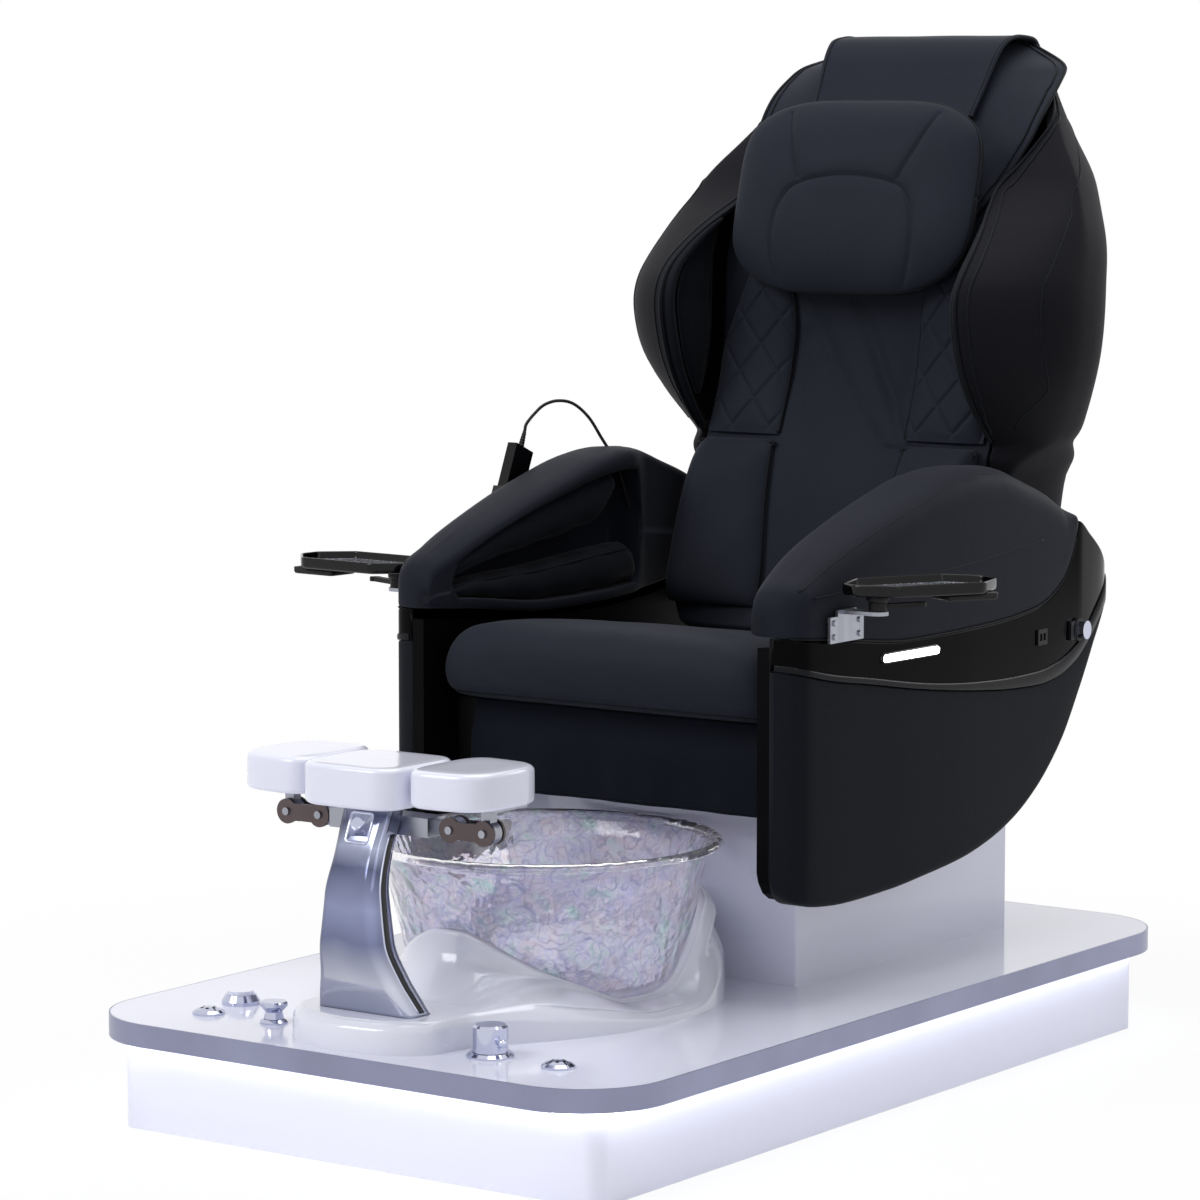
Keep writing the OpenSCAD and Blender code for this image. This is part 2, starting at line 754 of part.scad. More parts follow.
// Outer face of a side in plan, half width against Y
side_plan = [
  [side_front, 298], [-153, 314], [-143, 326], [-128, 333], [-100, 336], [0, 342], [120, 348],
  [260, 351], [400, 350], [500, 347], [560, 343], [600, 339], [640, 332], [665, 320], [682, 306], [side_rear, 296]
];
// Lower edge of a side panel against Y
panel_low = [
  [side_front, 322], [-150, 299], [-130, 285], [-95, 278], [-40, 275], [60, 279], [136, 286],
  [239, 298], [305, 312], [372, 335], [430, 366], [500, 422], [556, 488], [606, 552],
  [640, 594], [665, 616], [side_rear, 626]
];
// Line between panel and trim, line between trim and armrest, and top of the armrest
trim_low = [
  [side_front, 590], [-80, 573], [0, 561], [115, 543], [270, 525], [360, 518], [430, 516],
  [480, 521], [540, 539], [585, 566], [620, 592], [645, 610], [670, 626], [side_rear, 632]
];
trim_high = [
  [side_front, 634], [-80, 628], [100, 611], [290, 614], [420, 624], [500, 655], [530, 690],
  [545, 722], [552, 735], [586, 716], [630, 688], [650, 670], [665, 656], [side_rear, 641]
];
arm_top = [
  [side_front, 672], [-150, 690], [-138, 700], [-118, 710], [-68, 733], [29, 767], [128, 796],
  [230, 820], [290, 826], [336, 824], [417, 802], [500, 772], [545, 744]
];
side_stations = [
  side_front, -153, -143, -128, -100, -40, 30, 100, 170, 240, 290, 336, 372, 430, 480,
  520, 545, 580, 610, 640, 665, 682, side_rear
];

// Section of a side piece between two heights, with rounded outer corners
function side_section(y, x_in, low, high, r_low, r_high, inset = 0) =
  let (x = lookup(y, side_plan) - inset, a = low + inset, b = max(a + 4, high - inset))
    let (rl = min(r_low, (b - a) / 2, x - x_in - 1), rh = min(r_high, (b - a) / 2, x - x_in - 1))
      [
        [x_in, a], [x - rl, a], [x - 0.3 * rl, a + 0.3 * rl], [x, a + rl],
        [x, b - rh], [x - 0.3 * rh, b - 0.3 * rh], [x - rh, b], [x_in, b]
      ];

module side_boards() {
  // the boards stop a little inside the outer shells
  color("black") both_sides() translate([side_in, 0, 0]) rotate([90, 0, 90]) linear_extrude(board_t)
    polygon(concat(
      [for (y = side_stations) [y, lookup(y, panel_low) + 4]],
      [for (i = [len(side_stations) - 1:-1:0])
        let (y = side_stations[i]) [y, max(lookup(y, panel_low) + 6, lookup(y, trim_high) - 14)]]
    ));
}

skin = side_in + board_t + gap;
module side_panels() {
  color("black") both_sides() difference() {
    loft([
      for (y = side_stations)
        if (y < 670) at_y(side_section(y, skin, lookup(y, panel_low), lookup(y, trim_low) - gap, 16, 2), y)
    ], true);
    loft([
      for (y = side_stations)
        if (y > side_front && y < 640)
          at_y(side_section(
            y, skin - 1, lookup(y, panel_low), lookup(y, trim_low) - gap, 12, 2, shell_t
          ), y)
    ], true);
  }
}

module side_trims() {
  color("dimgray") both_sides() difference() {
    loft([
      for (y = side_stations)
        at_y(side_section(y, skin, lookup(y, trim_low), lookup(y, trim_high) - gap, 3, 3), y)
    ], true);
    loft([
      for (y = side_stations)
        if (y > side_front && y < 640)
          at_y(side_section(y, skin - 1, lookup(y, trim_low), lookup(y, trim_high) - gap, 2, 2, shell_t), y)
    ], true);
  }
}

// Armrest: padded, with a channel for the forearm on its inner side
arm_rear = 545;
notch_x = 298; // outer wall of the cable's recess in the right armrest
notch_low = 646; // floor of that recess
arm_stations = [for (y = side_stations) if (y <= arm_rear) y];
// Inner face of the armrest: it leans in over the seat and leaves room for the back
arm_in = [[side_front, 262], [-100, 250], [0, 240], [200, 236], [300, 246], [360, 264], [arm_rear, 272]];
function arm_section(y) =
  let (
    x = lookup(y, side_plan),
    low = lookup(y, trim_high),
    top = max(low + 5, lookup(y, arm_top)),
    r = min(46, (top - low) / 2, x - lookup(y, arm_in) - 2),
    xi = lookup(y, arm_in),
    rise = min(30, (top - low) / 3)
  )
    [
      [xi + 6, low + rise * 0.2], [side_in + 4, low], [x, low], [x, top - r],
      [x - 0.3 * r, top - 0.3 * r], [x - r, top], [xi + r * 0.7, top - 1],
      [xi + 0.2 * r, top - 0.3 * r], [xi, top - r]
    ];
module armrests() {
  color("black") both_sides() difference() {
    loft([for (y = arm_stations) at_y(arm_section(y), y)], true);
    loft([
      for (y = [-118, -100, -40, 30, 100, 170, 240, 290, 345])
        let (low = lookup(y, trim_high) + 16, top = lookup(y, arm_top) - 18 - 0.04 * abs(y))
          at_y([[180, low], [306, low], [314, low + 8], [314, top - 10], [304, top], [180, top]], y)
    ], true);
    // recess behind the right channel, where the handset's cable goes in
    if ($side == RIGHT) translate([180, 290, notch_low]) cube([notch_x - 180, 110, 240]);
  }
}

// Two air cushions in each channel, meeting in a slit for the forearm
module airbag_flap(low_side) {
  loft([
    for (y = low_side ? [-112, -100, -40, 30, 100, 170, 240, 290, 330] : [-112, -100, -40, 30, 100, 170, 240, 262])
      let (
        low = lookup(y, trim_high) + 16.5,
        top = lookup(y, arm_top) - 18.5 - 0.04 * abs(y),
        end = low_side ? 1 - ease(y, 290, 340) * 0.5 : 1 - ease(y, 200, 275) * 0.7,
        lip = ease(y, side_front, -80),
        a = (low_side ? 0.36 : 0.42) * (top - low) / 2 * end,
        z = low_side ? low + a : top - a,
        x = lookup(y, arm_in) + 4 + 12 * (1 - lip)
      )
        at_y(oval_ring((305 - x) / 2, a, 2.6, 12), y, (305 + x) / 2, z)
  ], true);
}
module arm_airbags() {
  color("black") both_sides() {
    airbag_flap(true);
    airbag_flap(false);
  }
}

// ---- lights, switches and small fittings on the trims ----

// Place on the outer face of a side at a given Y and Z
module on_trim(side, y, z) {
  slope = (lookup(y + 10, side_plan) - lookup(y - 10, side_plan)) / 20;
  on_side(side) translate([lookup(y, side_plan) + 0.3, y, z]) rotate([0, 0, -atan(slope)]) children();
}

bar_y = 95; // middle of the light bar along Y
bar_l = 120; // its length
bar_z = 592; // its height above the floor
bar_r = 5; // its half width
module light_bars() {
  color("white") for (side = [LEFT, RIGHT]) on_trim(side, bar_y, bar_z) union() {
    translate([0, -bar_l / 2, -bar_r]) cube([3, bar_l, 2 * bar_r]);
    for (y = [-bar_l / 2, bar_l / 2]) translate([0, y, 0]) pin_x_axis(bar_r, 3);
  }
}

usb_y = 436;
usb_z = 582;
dial_y = 544;
dial_z = 582;
module switch_panel() {
  color("gray") {
    on_trim(LEFT, usb_y, usb_z) difference() {
      translate([0, -13, -11]) cube([3, 26, 22]);
      for (y = [-9, 1]) translate([1, y, -5]) cube([4, 7, 10]);
    }
    on_trim(LEFT, dial_y, dial_z) difference() {
      union() {
        translate([0, -26, -13]) cube([4, 40, 26]);
        pin_x_axis(dial_d / 2 + 3, 5);
      }
      translate([-1, 0, 0]) pin_x_axis(4 + fit, 10);
    }
  }
}

module dial_knob() {
  color("silver") on_trim(LEFT, dial_y, dial_z) union() {
    translate([5 + gap, 0, 0]) pin_x_axis(dial_d / 2, 11);
    translate([0.5, 0, 0]) pin_x_axis(4, 6);
  }
}

// ---- trays ----

tray_pin = [392, -58]; // place of a tray's pivot, half width and Y
tray_heel = 52; // distance of a tray's near end from its pivot
post_r = 7;
function tray_z(side) = side == LEFT ? tray_z_left : tray_z_right;

// Plate with four screws and the pivot post that carries a tray
module tray_brackets() {
  plate_z = 641;
  plate_x = lookup(tray_pin[1], side_plan) + 3;
  color("silver") for (side = [LEFT, RIGHT])
    on_side(side) union() {
      translate([plate_x, tray_pin[1] - 40, plate_z - 17]) cube([4, 80, 34]);
      for (y = [-30, 30], z = [-9, 9])
        translate([plate_x + 3, tray_pin[1] + y, plate_z + z]) pin_x_axis(4, 3.5);
      translate([plate_x, tray_pin[1] - 22, plate_z - 17]) cube([4, 44, tray_z(side) - plate_z - 7]);
      translate([plate_x, tray_pin[1] - 14, tray_z(side) - 29]) cube([tray_pin[0] - plate_x, 28, 5]);
      translate([tray_pin[0], tray_pin[1], tray_z(side) - 29]) cylinder(r = 14, h = 5);
      translate([tray_pin[0], tray_pin[1], tray_z(side) - 25]) cylinder(r = post_r, h = 23);
    }
}

// Tray outline about its pivot, long side along +Y, outer rim towards +X
function tray_outline(inset) =
  let (
    x0 = 72 - tray_w + inset,
    x1 = 72 - inset,
    y0 = -tray_heel + inset,
    y1 = tray_l - tray_heel - inset,
    c = 40 - 0.6 * inset
  )
    [
      [x0 + c, y0], [x1 - c, y0], [x1, y0 + c], [x1, y1 - c], [x1 - c, y1],
      [x0 + c, y1], [x0, y1 - c], [x0, y0 + c]
    ];
tray_wall = 4;
module tray_body() {
  difference() {
    union() {
      linear_extrude(tray_rim) polygon(tray_outline(0));
      translate([0, 0, -12]) cylinder(r = 15, h = 13);
      translate([10, 70, -9]) cube([52, 74, 10]);
    }
    translate([0, 0, 5]) linear_extrude(tray_rim) polygon(tray_outline(tray_wall));
    translate([0, 0, -13]) cylinder(r = post_r + fit, h = 12);
  }
}
swing_left = 30; // how far the left tray stands off the arm, in degrees
swing_right = 86; // how far the right tray is swung out
module tray(side) {
  color("black") on_side(side) translate([tray_pin[0], tray_pin[1], tray_z(side)])
    rotate(side == LEFT ? -swing_left : -swing_right) tray_body();
}

// Clamp lever that turns on the post under the tray
module tray_lever(side) {
  color("gray") on_side(side) translate([tray_pin[0], tray_pin[1], tray_z(side) - 23.6])
    rotate(side == LEFT ? -30 : -70) difference() {
      union() {
        cylinder(r = 12, h = 11);
        translate([-6, 0, 3]) cube([12, 62, 6]);
        translate([0, 62, 3]) cylinder(r = 8, h = 6);
      }
      translate([0, 0, -1]) cylinder(r = post_r + fit, h = 20);
    }
}

// ---- recline drive ----

rod_r = 9;
cross_r = 6; // radius of the rod's cross pin
lever_turn = 17.45; // lean of the recline lever from upright at rest, in degrees
act_pin_y = hinge_y + (hinge_z - act_z) * tan(lever_turn); // the cross pin at rest, along Y
module actuator_body() {
  color("gray") union() {
    translate([0, 20, act_z]) difference() {
      pin_y(actuator_r, 250);
      translate([0, 60, 0]) pin_y(rod_r + fit, 200);
    }
    translate([-actuator_r, -18, act_z - actuator_r]) cube([2 * actuator_r, 60, 2 * actuator_r - 8]);
    translate([actuator_r - 4, 44, act_z - 16]) cube([36, 90, 32]);
  }
}
module actuator_rod() {
  color("silver") union() {
    translate([0, 150, act_z]) pin_y(rod_r, act_pin_y - 150);
    translate([-30, act_pin_y, act_z]) pin_x_axis(cross_r, 60);
  }
}

// ---- back ----

// The shell's sections, all against height: middle of the section along Y,
// half width, depth to the rear, depth of the wings to the front
shell_mid = [
  [590, 470], [700, 480], [800, 500], [838, 575], [870, 566], [913, 540], [981, 520], [1039, 515],
  [1080, 529], [1115, 548], [1157, 560], [1190, 575], [1222, 592], [1266, 622], [1294, 640],
  [1320, 665], [1342, 682], [1377, 710], [1394, 717], [1402, 720]
];
shell_half = [
  [590, 261], [800, 261], [838, 296], [870, 314], [913, 342], [981, 366], [1039, 370],
  [1080, 364], [1115, 357], [1157, 342], [1190, 324], [1222, 308], [1266, 266], [1294, 251],
  [1320, 228], [1342, 214], [1377, 184], [1394, 152], [1402, 128]
];
shell_rear = [
  [590, 222], [700, 235], [800, 245], [838, 165], [870, 160], [913, 165], [981, 175], [1039, 185],
  [1080, 180], [1115, 170], [1157, 167], [1190, 172], [1222, 158], [1266, 136], [1294, 106],
  [1320, 74], [1342, 62], [1377, 42], [1394, 34], [1402, 24]
];
shell_wing = [
  [590, 8], [800, 20], [838, 170], [870, 190], [913, 185], [981, 190], [1039, 195],
  [1080, 192], [1115, 155], [1157, 91], [1175, 56], [1190, 30], [1222, 22], [1266, 20], [1294, 20],
  [1342, 20], [1377, 20], [1394, 18], [1402, 12]
];
shell_levels = [
  590, 640, 720, 800, 819, 838, 870, 913, 948, 981, 1010, 1039, 1080, 1115, 1136, 1157, 1175,
  1190, 1206, 1222, 1244, 1266, 1294, 1320, 1342, 1377, 1394, 1402
];
// One section: a superellipse whose front and rear halves have their own depths
function shell_ring(z, inset, n = 32) = [
  for (k = [0:n - 1])
    let (
      t = 360 * k / n,
      e = z < 805 ? 5 : (sin(t) > 0 ? 2.7 : 2.1),
      deep = (sin(t) > 0 ? lookup(z, shell_rear) : lookup(z, shell_wing)) - inset
    )
      [
        (lookup(z, shell_half) - inset) * sign(cos(t)) * pow(abs(cos(t)), 2 / e),
        lookup(z, shell_mid) + max(1, deep) * sign(sin(t)) * pow(abs(sin(t)), 2 / e),
        z
      ]
];
// Half width of the shell's opening against height: wide at the wings, close round the lobe
mouth_half = [
  [580, 230], [610, 246], [1085, 246], [1115, 240], [1157, 222], [1175, 210], [1192, 202],
  [1212, 212], [1240, 226], [1278, 242], [1320, 248], [1402, 248]
];

module back_shell() {
  color("black") difference() {
    loft([for (z = shell_levels) shell_ring(z, 0)]);
    loft([
      for (z = concat([580], shell_levels))
        if (z < 1380) shell_ring(z, back_wall)
    ]);
    // open front, which follows the base pad's outline
    loft([
      for (z = [
        580, 610, 800, 1000, 1085, 1115, 1136, 1157, 1175, 1192, 1212, 1240, 1278, 1306, 1330, 1350,
        1370, 1386
      ])
        let (
          half = lookup(z, mouth_half),
          rear = max(
            lookup(z, pad_front) + 60,
            z < 900 ? lookup(z, shell_mid) + 6 : 0,
            z > 1215 ? lookup(z, lobe_edge) + 20 : 0
          )
        )
          at_z([[-half, 200], [half, 200], [half, rear], [-half, rear]], z)
    ]);
  }
}

// Front surface of the base pad against height
pad_front = [
  [562, 364], [594, 377], [620, 388], [700, 414], [780, 442], [860, 474], [940, 502], [1000, 512],
  [1080, 514], [1160, 540], [1240, 574], [1320, 618], [1360, 640], [1388, 662]
];
pad_half = [
  [562, 212], [576, 222], [610, 238], [1160, 238], [1190, 194], [1212, 204], [1240, 218],
  [1278, 232], [1320, 236], [1363, 227], [1388, 168]
];
// The raised lobe at the pad's top: its half width, and the depth its sides roll back to
lobe_half = [[1150, 172], [1170, 185], [1212, 206], [1240, 219], [1278, 233]];
lobe_edge = [[1212, 578], [1278, 612], [1320, 645], [1363, 692], [1388, 702]];
lobe_rise = 12;
module back_pad() {
  color("black") loft([
    for (z = [
      562, 574, 594, 620, 700, 780, 860, 940, 1000, 1040, 1080, 1134, 1150, 1160, 1175, 1190, 1212,
      1240, 1265, 1290, 1320, 1342, 1363, 1376, 1386
    ])
      let (
        ends = z < 570 || z > 1370,
        w = lookup(z, pad_half) - (ends ? 12 : 0),
        y = lookup(z, pad_front),
        thick = back_pad_t - (ends ? 14 : 0),
        k = ease(z, 1215, 1290),
        turn = max(12, lookup(z, lobe_edge) - y),
        rise = lobe_rise * ease(z, 1140, 1190) * (1 - ease(z, 1240, 1290)),
        lobe = lookup(z, lobe_half)
      )
        concat(
          // front face with a shallow centre channel and two soft folds
          [for (i = [-12:12])
            let (
              x = w * i / 12,
              u = abs(x) / w,
              fold = z > 800 && z < 1100 ? 5 * exp(-pow((abs(x) - 40) / 14, 2)) : 0,
              low = 12 * pow(u, 6) + 4 * (1 - ease(abs(x), 60, 100)) + fold
                - rise * (1 - ease(abs(x), lobe - 22, lobe))
            )
              [x, y + low * (1 - k) + turn * pow(u, 3.4) * k, z]],
          [for (i = [6:-1:-6])
            let (u = abs(i) / 6, flat_y = y + thick - 10 * pow(u, 4) * (1 - k))
              [w * i / 6, flat_y + max(0, y + turn + 10 - flat_y) * pow(u, 3) * k, z]]
        )
  ]);
}

// Pads on both sides of the backrest: quilted above, plain below
module side_bolsters() {
  tuft = 78; // pitch of the sewn diamonds
  color("black") both_sides() loft([
    for (z = end_steps(842, 1128, 12))
      let (
        v = (z - 842) / (1128 - 842),
        x0 = 106 + 20 * ease(v, 0.55, 1),
        x1 = 232 - 55 * ease(v, 0.35, 1),
        y = lookup(z, pad_front),
        crown = 26 * pow(sin(180 * (0.06 + 0.88 * v)), 0.5)
      )
        concat(
          [for (i = [0:8])
            let (
              u = i / 8,
              x = x0 + (x1 - x0) * u,
              line = abs(sin(180 * (x + z) / tuft)) * abs(sin(180 * (x - z) / tuft)),
              side = pow(max(0, 1 - pow(abs(2 * u - 1), 5)), 0.6)
            )
              [x, y + 11 * pow(u, 4) - 1 - (crown * (0.5 + 0.5 * u) + 3 * line) * side, z]],
          [[x1, y + 6, z], [(x0 + x1) / 2, y - gap, z], [x0, y - gap, z]]
        )
  ]);
}

module lumbar_pads() {
  color("black") both_sides() loft([
    for (z = end_steps(600, 834, 9))
      let (
        v = (z - 600) / (834 - 600),
        x0 = 84 + 24 * ease(v, 0, 1),
        x1 = 238 - 6 * ease(v, 0.4, 1),
        y = lookup(z, pad_front),
        crown = pow(max(0, 1 - pow(abs(2 * v - 1), 6)), 0.5)
      )
        concat(
          [for (i = [0:7])
            let (
              u = i / 7,
              side = pow(max(0, 1 - pow(abs(2 * u - 1), 6)), 0.5)
            )
              [x0 + (x1 - x0) * u, y - gap - 2 - (16 + 34 * u) * crown * side, z]],
          [[x1, y - gap, z], [x0, y - gap, z]]
        )
  ]);
}

// Air cushions just inside the wings, from the shell's lip back to the base pad
wing_x = 258; // middle of a wing cushion
wing_t = 26; // its thickness
function wing_lip(z, x) =
  let (half = lookup(z, shell_half) - back_wall, deep = lookup(z, shell_wing) - back_wall)
    lookup(z, shell_mid) - deep * pow(1 - pow(x / half, 2.1), 1 / 2.1);
module wing_pads() {
  color("black") both_sides() loft([
    for (z = end_steps(894, 1178, 12))
      let (
        v = (z - 894) / (1178 - 894),
        swell = pow(max(0.05, sin(180 * v)), 0.4),
        front = wing_lip(z, wing_x + wing_t / 2) + 6,
        rear = max(front + 14, lookup(z, pad_front) - 6)
      )
        at_z(oval_ring(wing_t / 2 * swell, (rear - front) / 2, 3, 14), z, wing_x, (front + rear) / 2)
  ]);
}

pillow_lean = 15;
pillow_mid = [0, 533, 1176];
module head_pillow() {
  // built flat in its own plane, then leant back against the pad
  color("black") translate(pillow_mid) rotate([-pillow_lean, 0, 0]) loft([
    for (v = [[0, 0.76], [-6, 0.90], [-24, 1], [-38, 0.97], [-52, 0.86], [-62, 0.62], [-67, 0.3]])
      [for (k = [0:31])
        let (
          t = 360 * k / 32,
          w = 199 - 16 * ease(-sin(t), 0.2, 1) - 12 * ease(sin(t), 0.4, 1),
          x = w * v[1] * sign(cos(t)) * pow(abs(cos(t)), 2 / 3.9),
          z = 141 * v[1] * sign(sin(t)) * pow(abs(sin(t)), 2 / 3.9)
        )
          [x, v[0] - 8 * pow(abs(x) / 200, 2), z + 8 * (1 - v[1])]]
  ], true);
}

// Leather flap from the pillow over the top of the back
module top_flap() {
  thick = 4;
  path = [
    [598, 1302], [617, 1330], [634, 1358], [652, 1386], [672, 1403], [700, 1409], [726, 1408.5],
    [745, 1405], [757, 1395]
  ];
  last = len(path) - 1;
  function widen(i) = 1 + 0.09 * min(1, i / 4); // the flap is broader over the top
  outer = [
    for (i = [0:last])
      let (d = path[min(last, i + 1)] - path[max(0, i - 1)])
        path[i] + thick / norm(d) * [-d[1], d[0]]
  ];
  color("black") loft([
    for (x = end_steps(-138, 138, 10))
      concat(
        [for (i = [0:last]) [x * widen(i), outer[i][0], outer[i][1]]],
        [for (i = [last:-1:0]) [x * widen(i), path[i][0], path[i][1]]]
      )
  ], false);
}

// Steel back frame with the hinge ears and the slotted recline lever
lever_gap = 0.7; // play of the cross pin in the lever's slot
rail_x = 190; // inner face of a back rail
module back_frame() {
  color("dimgray") translate([0, hinge_y, hinge_z]) union() {
    translate([-ear_x + gap, 0, 0]) pin_x_axis(14, 2 * (ear_x - gap));
    translate([-side_in + 1, 0, 0]) pin_x_axis(hinge_r, 2 * (side_in - 1));
    rotate([-lean, 0, 0]) {
      both_sides() translate([rail_x, 6, -20]) cube([22, 26, 580]);
      for (z = [24, 500])
        translate([-rail_x - 10, 31, z]) cube([2 * rail_x + 20, 12, 26]);
    }
    rotate([lever_turn, 0, 0]) both_sides() difference() {
      translate([18, -14, -96]) cube([10, 28, 100]);
      for (z = [-81:1.5:-72]) translate([10, 0, z]) pin_x_axis(cross_r + lever_gap, 30);
    }
  }
}

// Massage carriage on the back frame's rails, with its roller axle
carriage_z = 330; // height of the carriage along the leaning back, from the hinge
axle_r = 8;
axle_y = -8; // the roller axle's place in front of the hinge's plane
module in_back() {
  translate([0, hinge_y, hinge_z]) rotate([-lean, 0, 0]) children();
}
module massage_carriage() {
  color("slategray") in_back() translate([0, 0, carriage_z]) difference() {
    union() {
      translate([-150, 8, -40]) cube([300, 20, 80]);
      both_sides() translate([150 - 2, 4, -26]) cube([190 - gap - 148, 26, 52]);
      for (x = [-96, 84]) translate([x, axle_y - 14, -16]) cube([12, 24 - axle_y, 32]);
    }
    translate([-130, axle_y, 0]) pin_x_axis(axle_r + fit, 260);
    // hollows behind the rollers
    for (x = [-70, 34]) translate([x, axle_y, 0]) pin_x_axis(roller_d / 2 + 1.5, 36);
  }
}
module massage_rollers() {
  color("tan") in_back() translate([0, axle_y, carriage_z]) union() {
    translate([-120, 0, 0]) pin_x_axis(axle_r, 240);
    for (x = [-68, 36]) translate([x, 0, 0]) pin_x_axis(roller_d / 2, 32);
  }
}

// ---- handset and its cable ----

handset_at = [-360, 148, 746]; // middle of the handset's lower end
handset_lean = 23; // how far the handset leans back, in degrees
// Everything in the handset's holder, in its leaning frame
module in_holder() {
  translate(handset_at) rotate([-handset_lean, 0, 0]) children();
}

// Pocket on a foot that is screwed to the right armrest's outer side
module remote_holder() {
  color("black") in_holder() difference() {
    union() {
      translate([-12, -25, -10]) cube([22, 50, 34]);
      translate([-6, -16, -10]) cube([16, 32, 12]);
    }
    translate([-8 - gap, -21 - gap, -6]) cube([16 + 2 * gap, 42 + 2 * gap, 40]);
  }
}
module handset() {
  color("black") in_holder() translate([-8, -21, -6 + gap]) difference() {
    cube([16, 42, 96]);
    translate([-1, 4, 50]) cube([2, 34, 38]);
  }
}

// Strain relief on the handset, and the grommet where the cable goes in
relief_l = 24;
grommet_h = 10;
inlet_at = [-277, 384, notch_low + gap];
module cable_relief() {
  color("black") {
    in_holder() translate([0, 0, 90 + 2 * gap]) cylinder(r1 = 4.5, r2 = 2.8, h = relief_l);
    translate(inlet_at) cylinder(r1 = 6, r2 = 3.5, h = grommet_h);
  }
}

// The cable's route from the relief to its grommet inside the armrest
relief_top = handset_at + (90 + 2 * gap + relief_l) * [0, sin(handset_lean), cos(handset_lean)];
cable_route = [
  relief_top + 0.6 * [0, sin(handset_lean), cos(handset_lean)],
  relief_top + 11 * [0, sin(handset_lean), cos(handset_lean)],
  [-357, 213, 876], [-351, 229, 888], [-340, 247, 893], [-327, 266, 888], [-313, 284, 868],
  [-302, 300, 838], [-289, 313, 808], [-283, 322, 780], [-279, 333, 745], [-275, 346, 714],
  [-273, 362, 690], [-275, 376, 672], inlet_at + [0, 0, grommet_h + 7],
  inlet_at + [0, 0, grommet_h + 0.6]
];
function cable_point(i) = cable_route[min(len(cable_route) - 1, max(0, i))];
function spline(a, b, c, d, t) =
  0.5 * (2 * b + (c - a) * t + (2 * a - 5 * b + 4 * c - d) * t * t + (3 * b - a - 3 * c + d) * t * t * t);
cable_line = [
  for (i = [0:len(cable_route) - 2], t = [0, 0.34, 0.67])
    spline(cable_point(i - 1), cable_point(i), cable_point(i + 1), cable_point(i + 2), t),
  cable_route[len(cable_route) - 1]
];
module handset_cable() {
  n = len(cable_line);
  color("black") loft([
    for (i = [0:n - 1])
      let (
        a = cable_line[max(0, i - 1)],
        b = cable_line[min(n - 1, i + 1)],
        d = (b - a) / norm(b - a),
        side = cross(d, [0.6, -0.8, 0.1]),
        u = side / norm(side),
        w = cross(d, u)
      )
        [for (k = [0:7]) cable_line[i] + cable_d / 2 * (u * cos(45 * k) + w * sin(45 * k))]
  ]);
}

// ---- one line for each node ----
plinth_box();
deck_board();
edge_band();
led_strip();
bowl_base();
glass_bowl();
bowl_drain();
foot_stand();
stand_inlays();
footrest_centre();
foot_brackets();
drain_grilles();
fitting_bases();
valve_bodies();
drain_pump();
pedestal_box();
control_box();
slide_rails();
button_cap();
diverter_knob();
mixer_handle();
foot_link(LEFT);  // foot_link_left
foot_link(RIGHT);  // foot_link_right
pad_bracket(LEFT);  // pad_bracket_left
pad_bracket(RIGHT);  // pad_bracket_right
foot_pad(LEFT);  // foot_pad_left
foot_pad(RIGHT);  // foot_pad_right
slide_carriage();
seat_frame();
seat_cushion();
front_skirt();
side_boards();
side_panels();
side_trims();
armrests();
arm_airbags();
light_bars();
switch_panel();
tray_brackets();
actuator_body();
remote_holder();
handset();
cable_relief();
handset_cable();
dial_knob();
tray(LEFT);  // tray_left
tray(RIGHT);  // tray_right
tray_lever(LEFT);  // tray_lever_left
tray_lever(RIGHT);  // tray_lever_right
actuator_rod();
back_shell();
back_pad();
side_bolsters();
lumbar_pads();
wing_pads();
head_pillow();
top_flap();
back_frame();
massage_carriage();
massage_rollers();
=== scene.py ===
import math

import bpy
import numpy as np
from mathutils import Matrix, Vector


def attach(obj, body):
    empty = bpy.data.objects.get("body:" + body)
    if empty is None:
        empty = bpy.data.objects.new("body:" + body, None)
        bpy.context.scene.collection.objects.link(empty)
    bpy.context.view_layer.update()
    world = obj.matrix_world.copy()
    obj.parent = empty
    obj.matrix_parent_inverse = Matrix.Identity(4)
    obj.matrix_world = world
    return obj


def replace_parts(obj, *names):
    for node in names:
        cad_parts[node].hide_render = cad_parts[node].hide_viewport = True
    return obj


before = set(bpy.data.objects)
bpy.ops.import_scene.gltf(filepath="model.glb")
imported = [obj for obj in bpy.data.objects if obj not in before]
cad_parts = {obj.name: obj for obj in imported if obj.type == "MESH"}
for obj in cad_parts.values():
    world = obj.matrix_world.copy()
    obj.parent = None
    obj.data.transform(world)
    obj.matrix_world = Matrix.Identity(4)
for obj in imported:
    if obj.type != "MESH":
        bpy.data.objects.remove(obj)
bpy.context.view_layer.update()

MM = 0.001  # lengths below are in millimetres unless a comment says otherwise
SIDES = (1, -1)  # +1 is the sitter's left, at +X


# ---------------- camera and light, in metres
def link(name, data, pos):
    obj = bpy.data.objects.new(name, data)
    bpy.context.scene.collection.objects.link(obj)
    obj.location = pos
    return obj


YAW, PITCH = 35.63, 6.34  # heading and tilt below level, in degrees
camera_data = bpy.data.cameras.new("camera")
camera_data.sensor_width = 36
camera_data.lens = 134.5
camera = link("camera", camera_data, (3.4432, -4.9292, 1.3182))
camera.rotation_euler = (math.radians(90 - PITCH), 0, math.radians(YAW))
bpy.context.scene.camera = camera

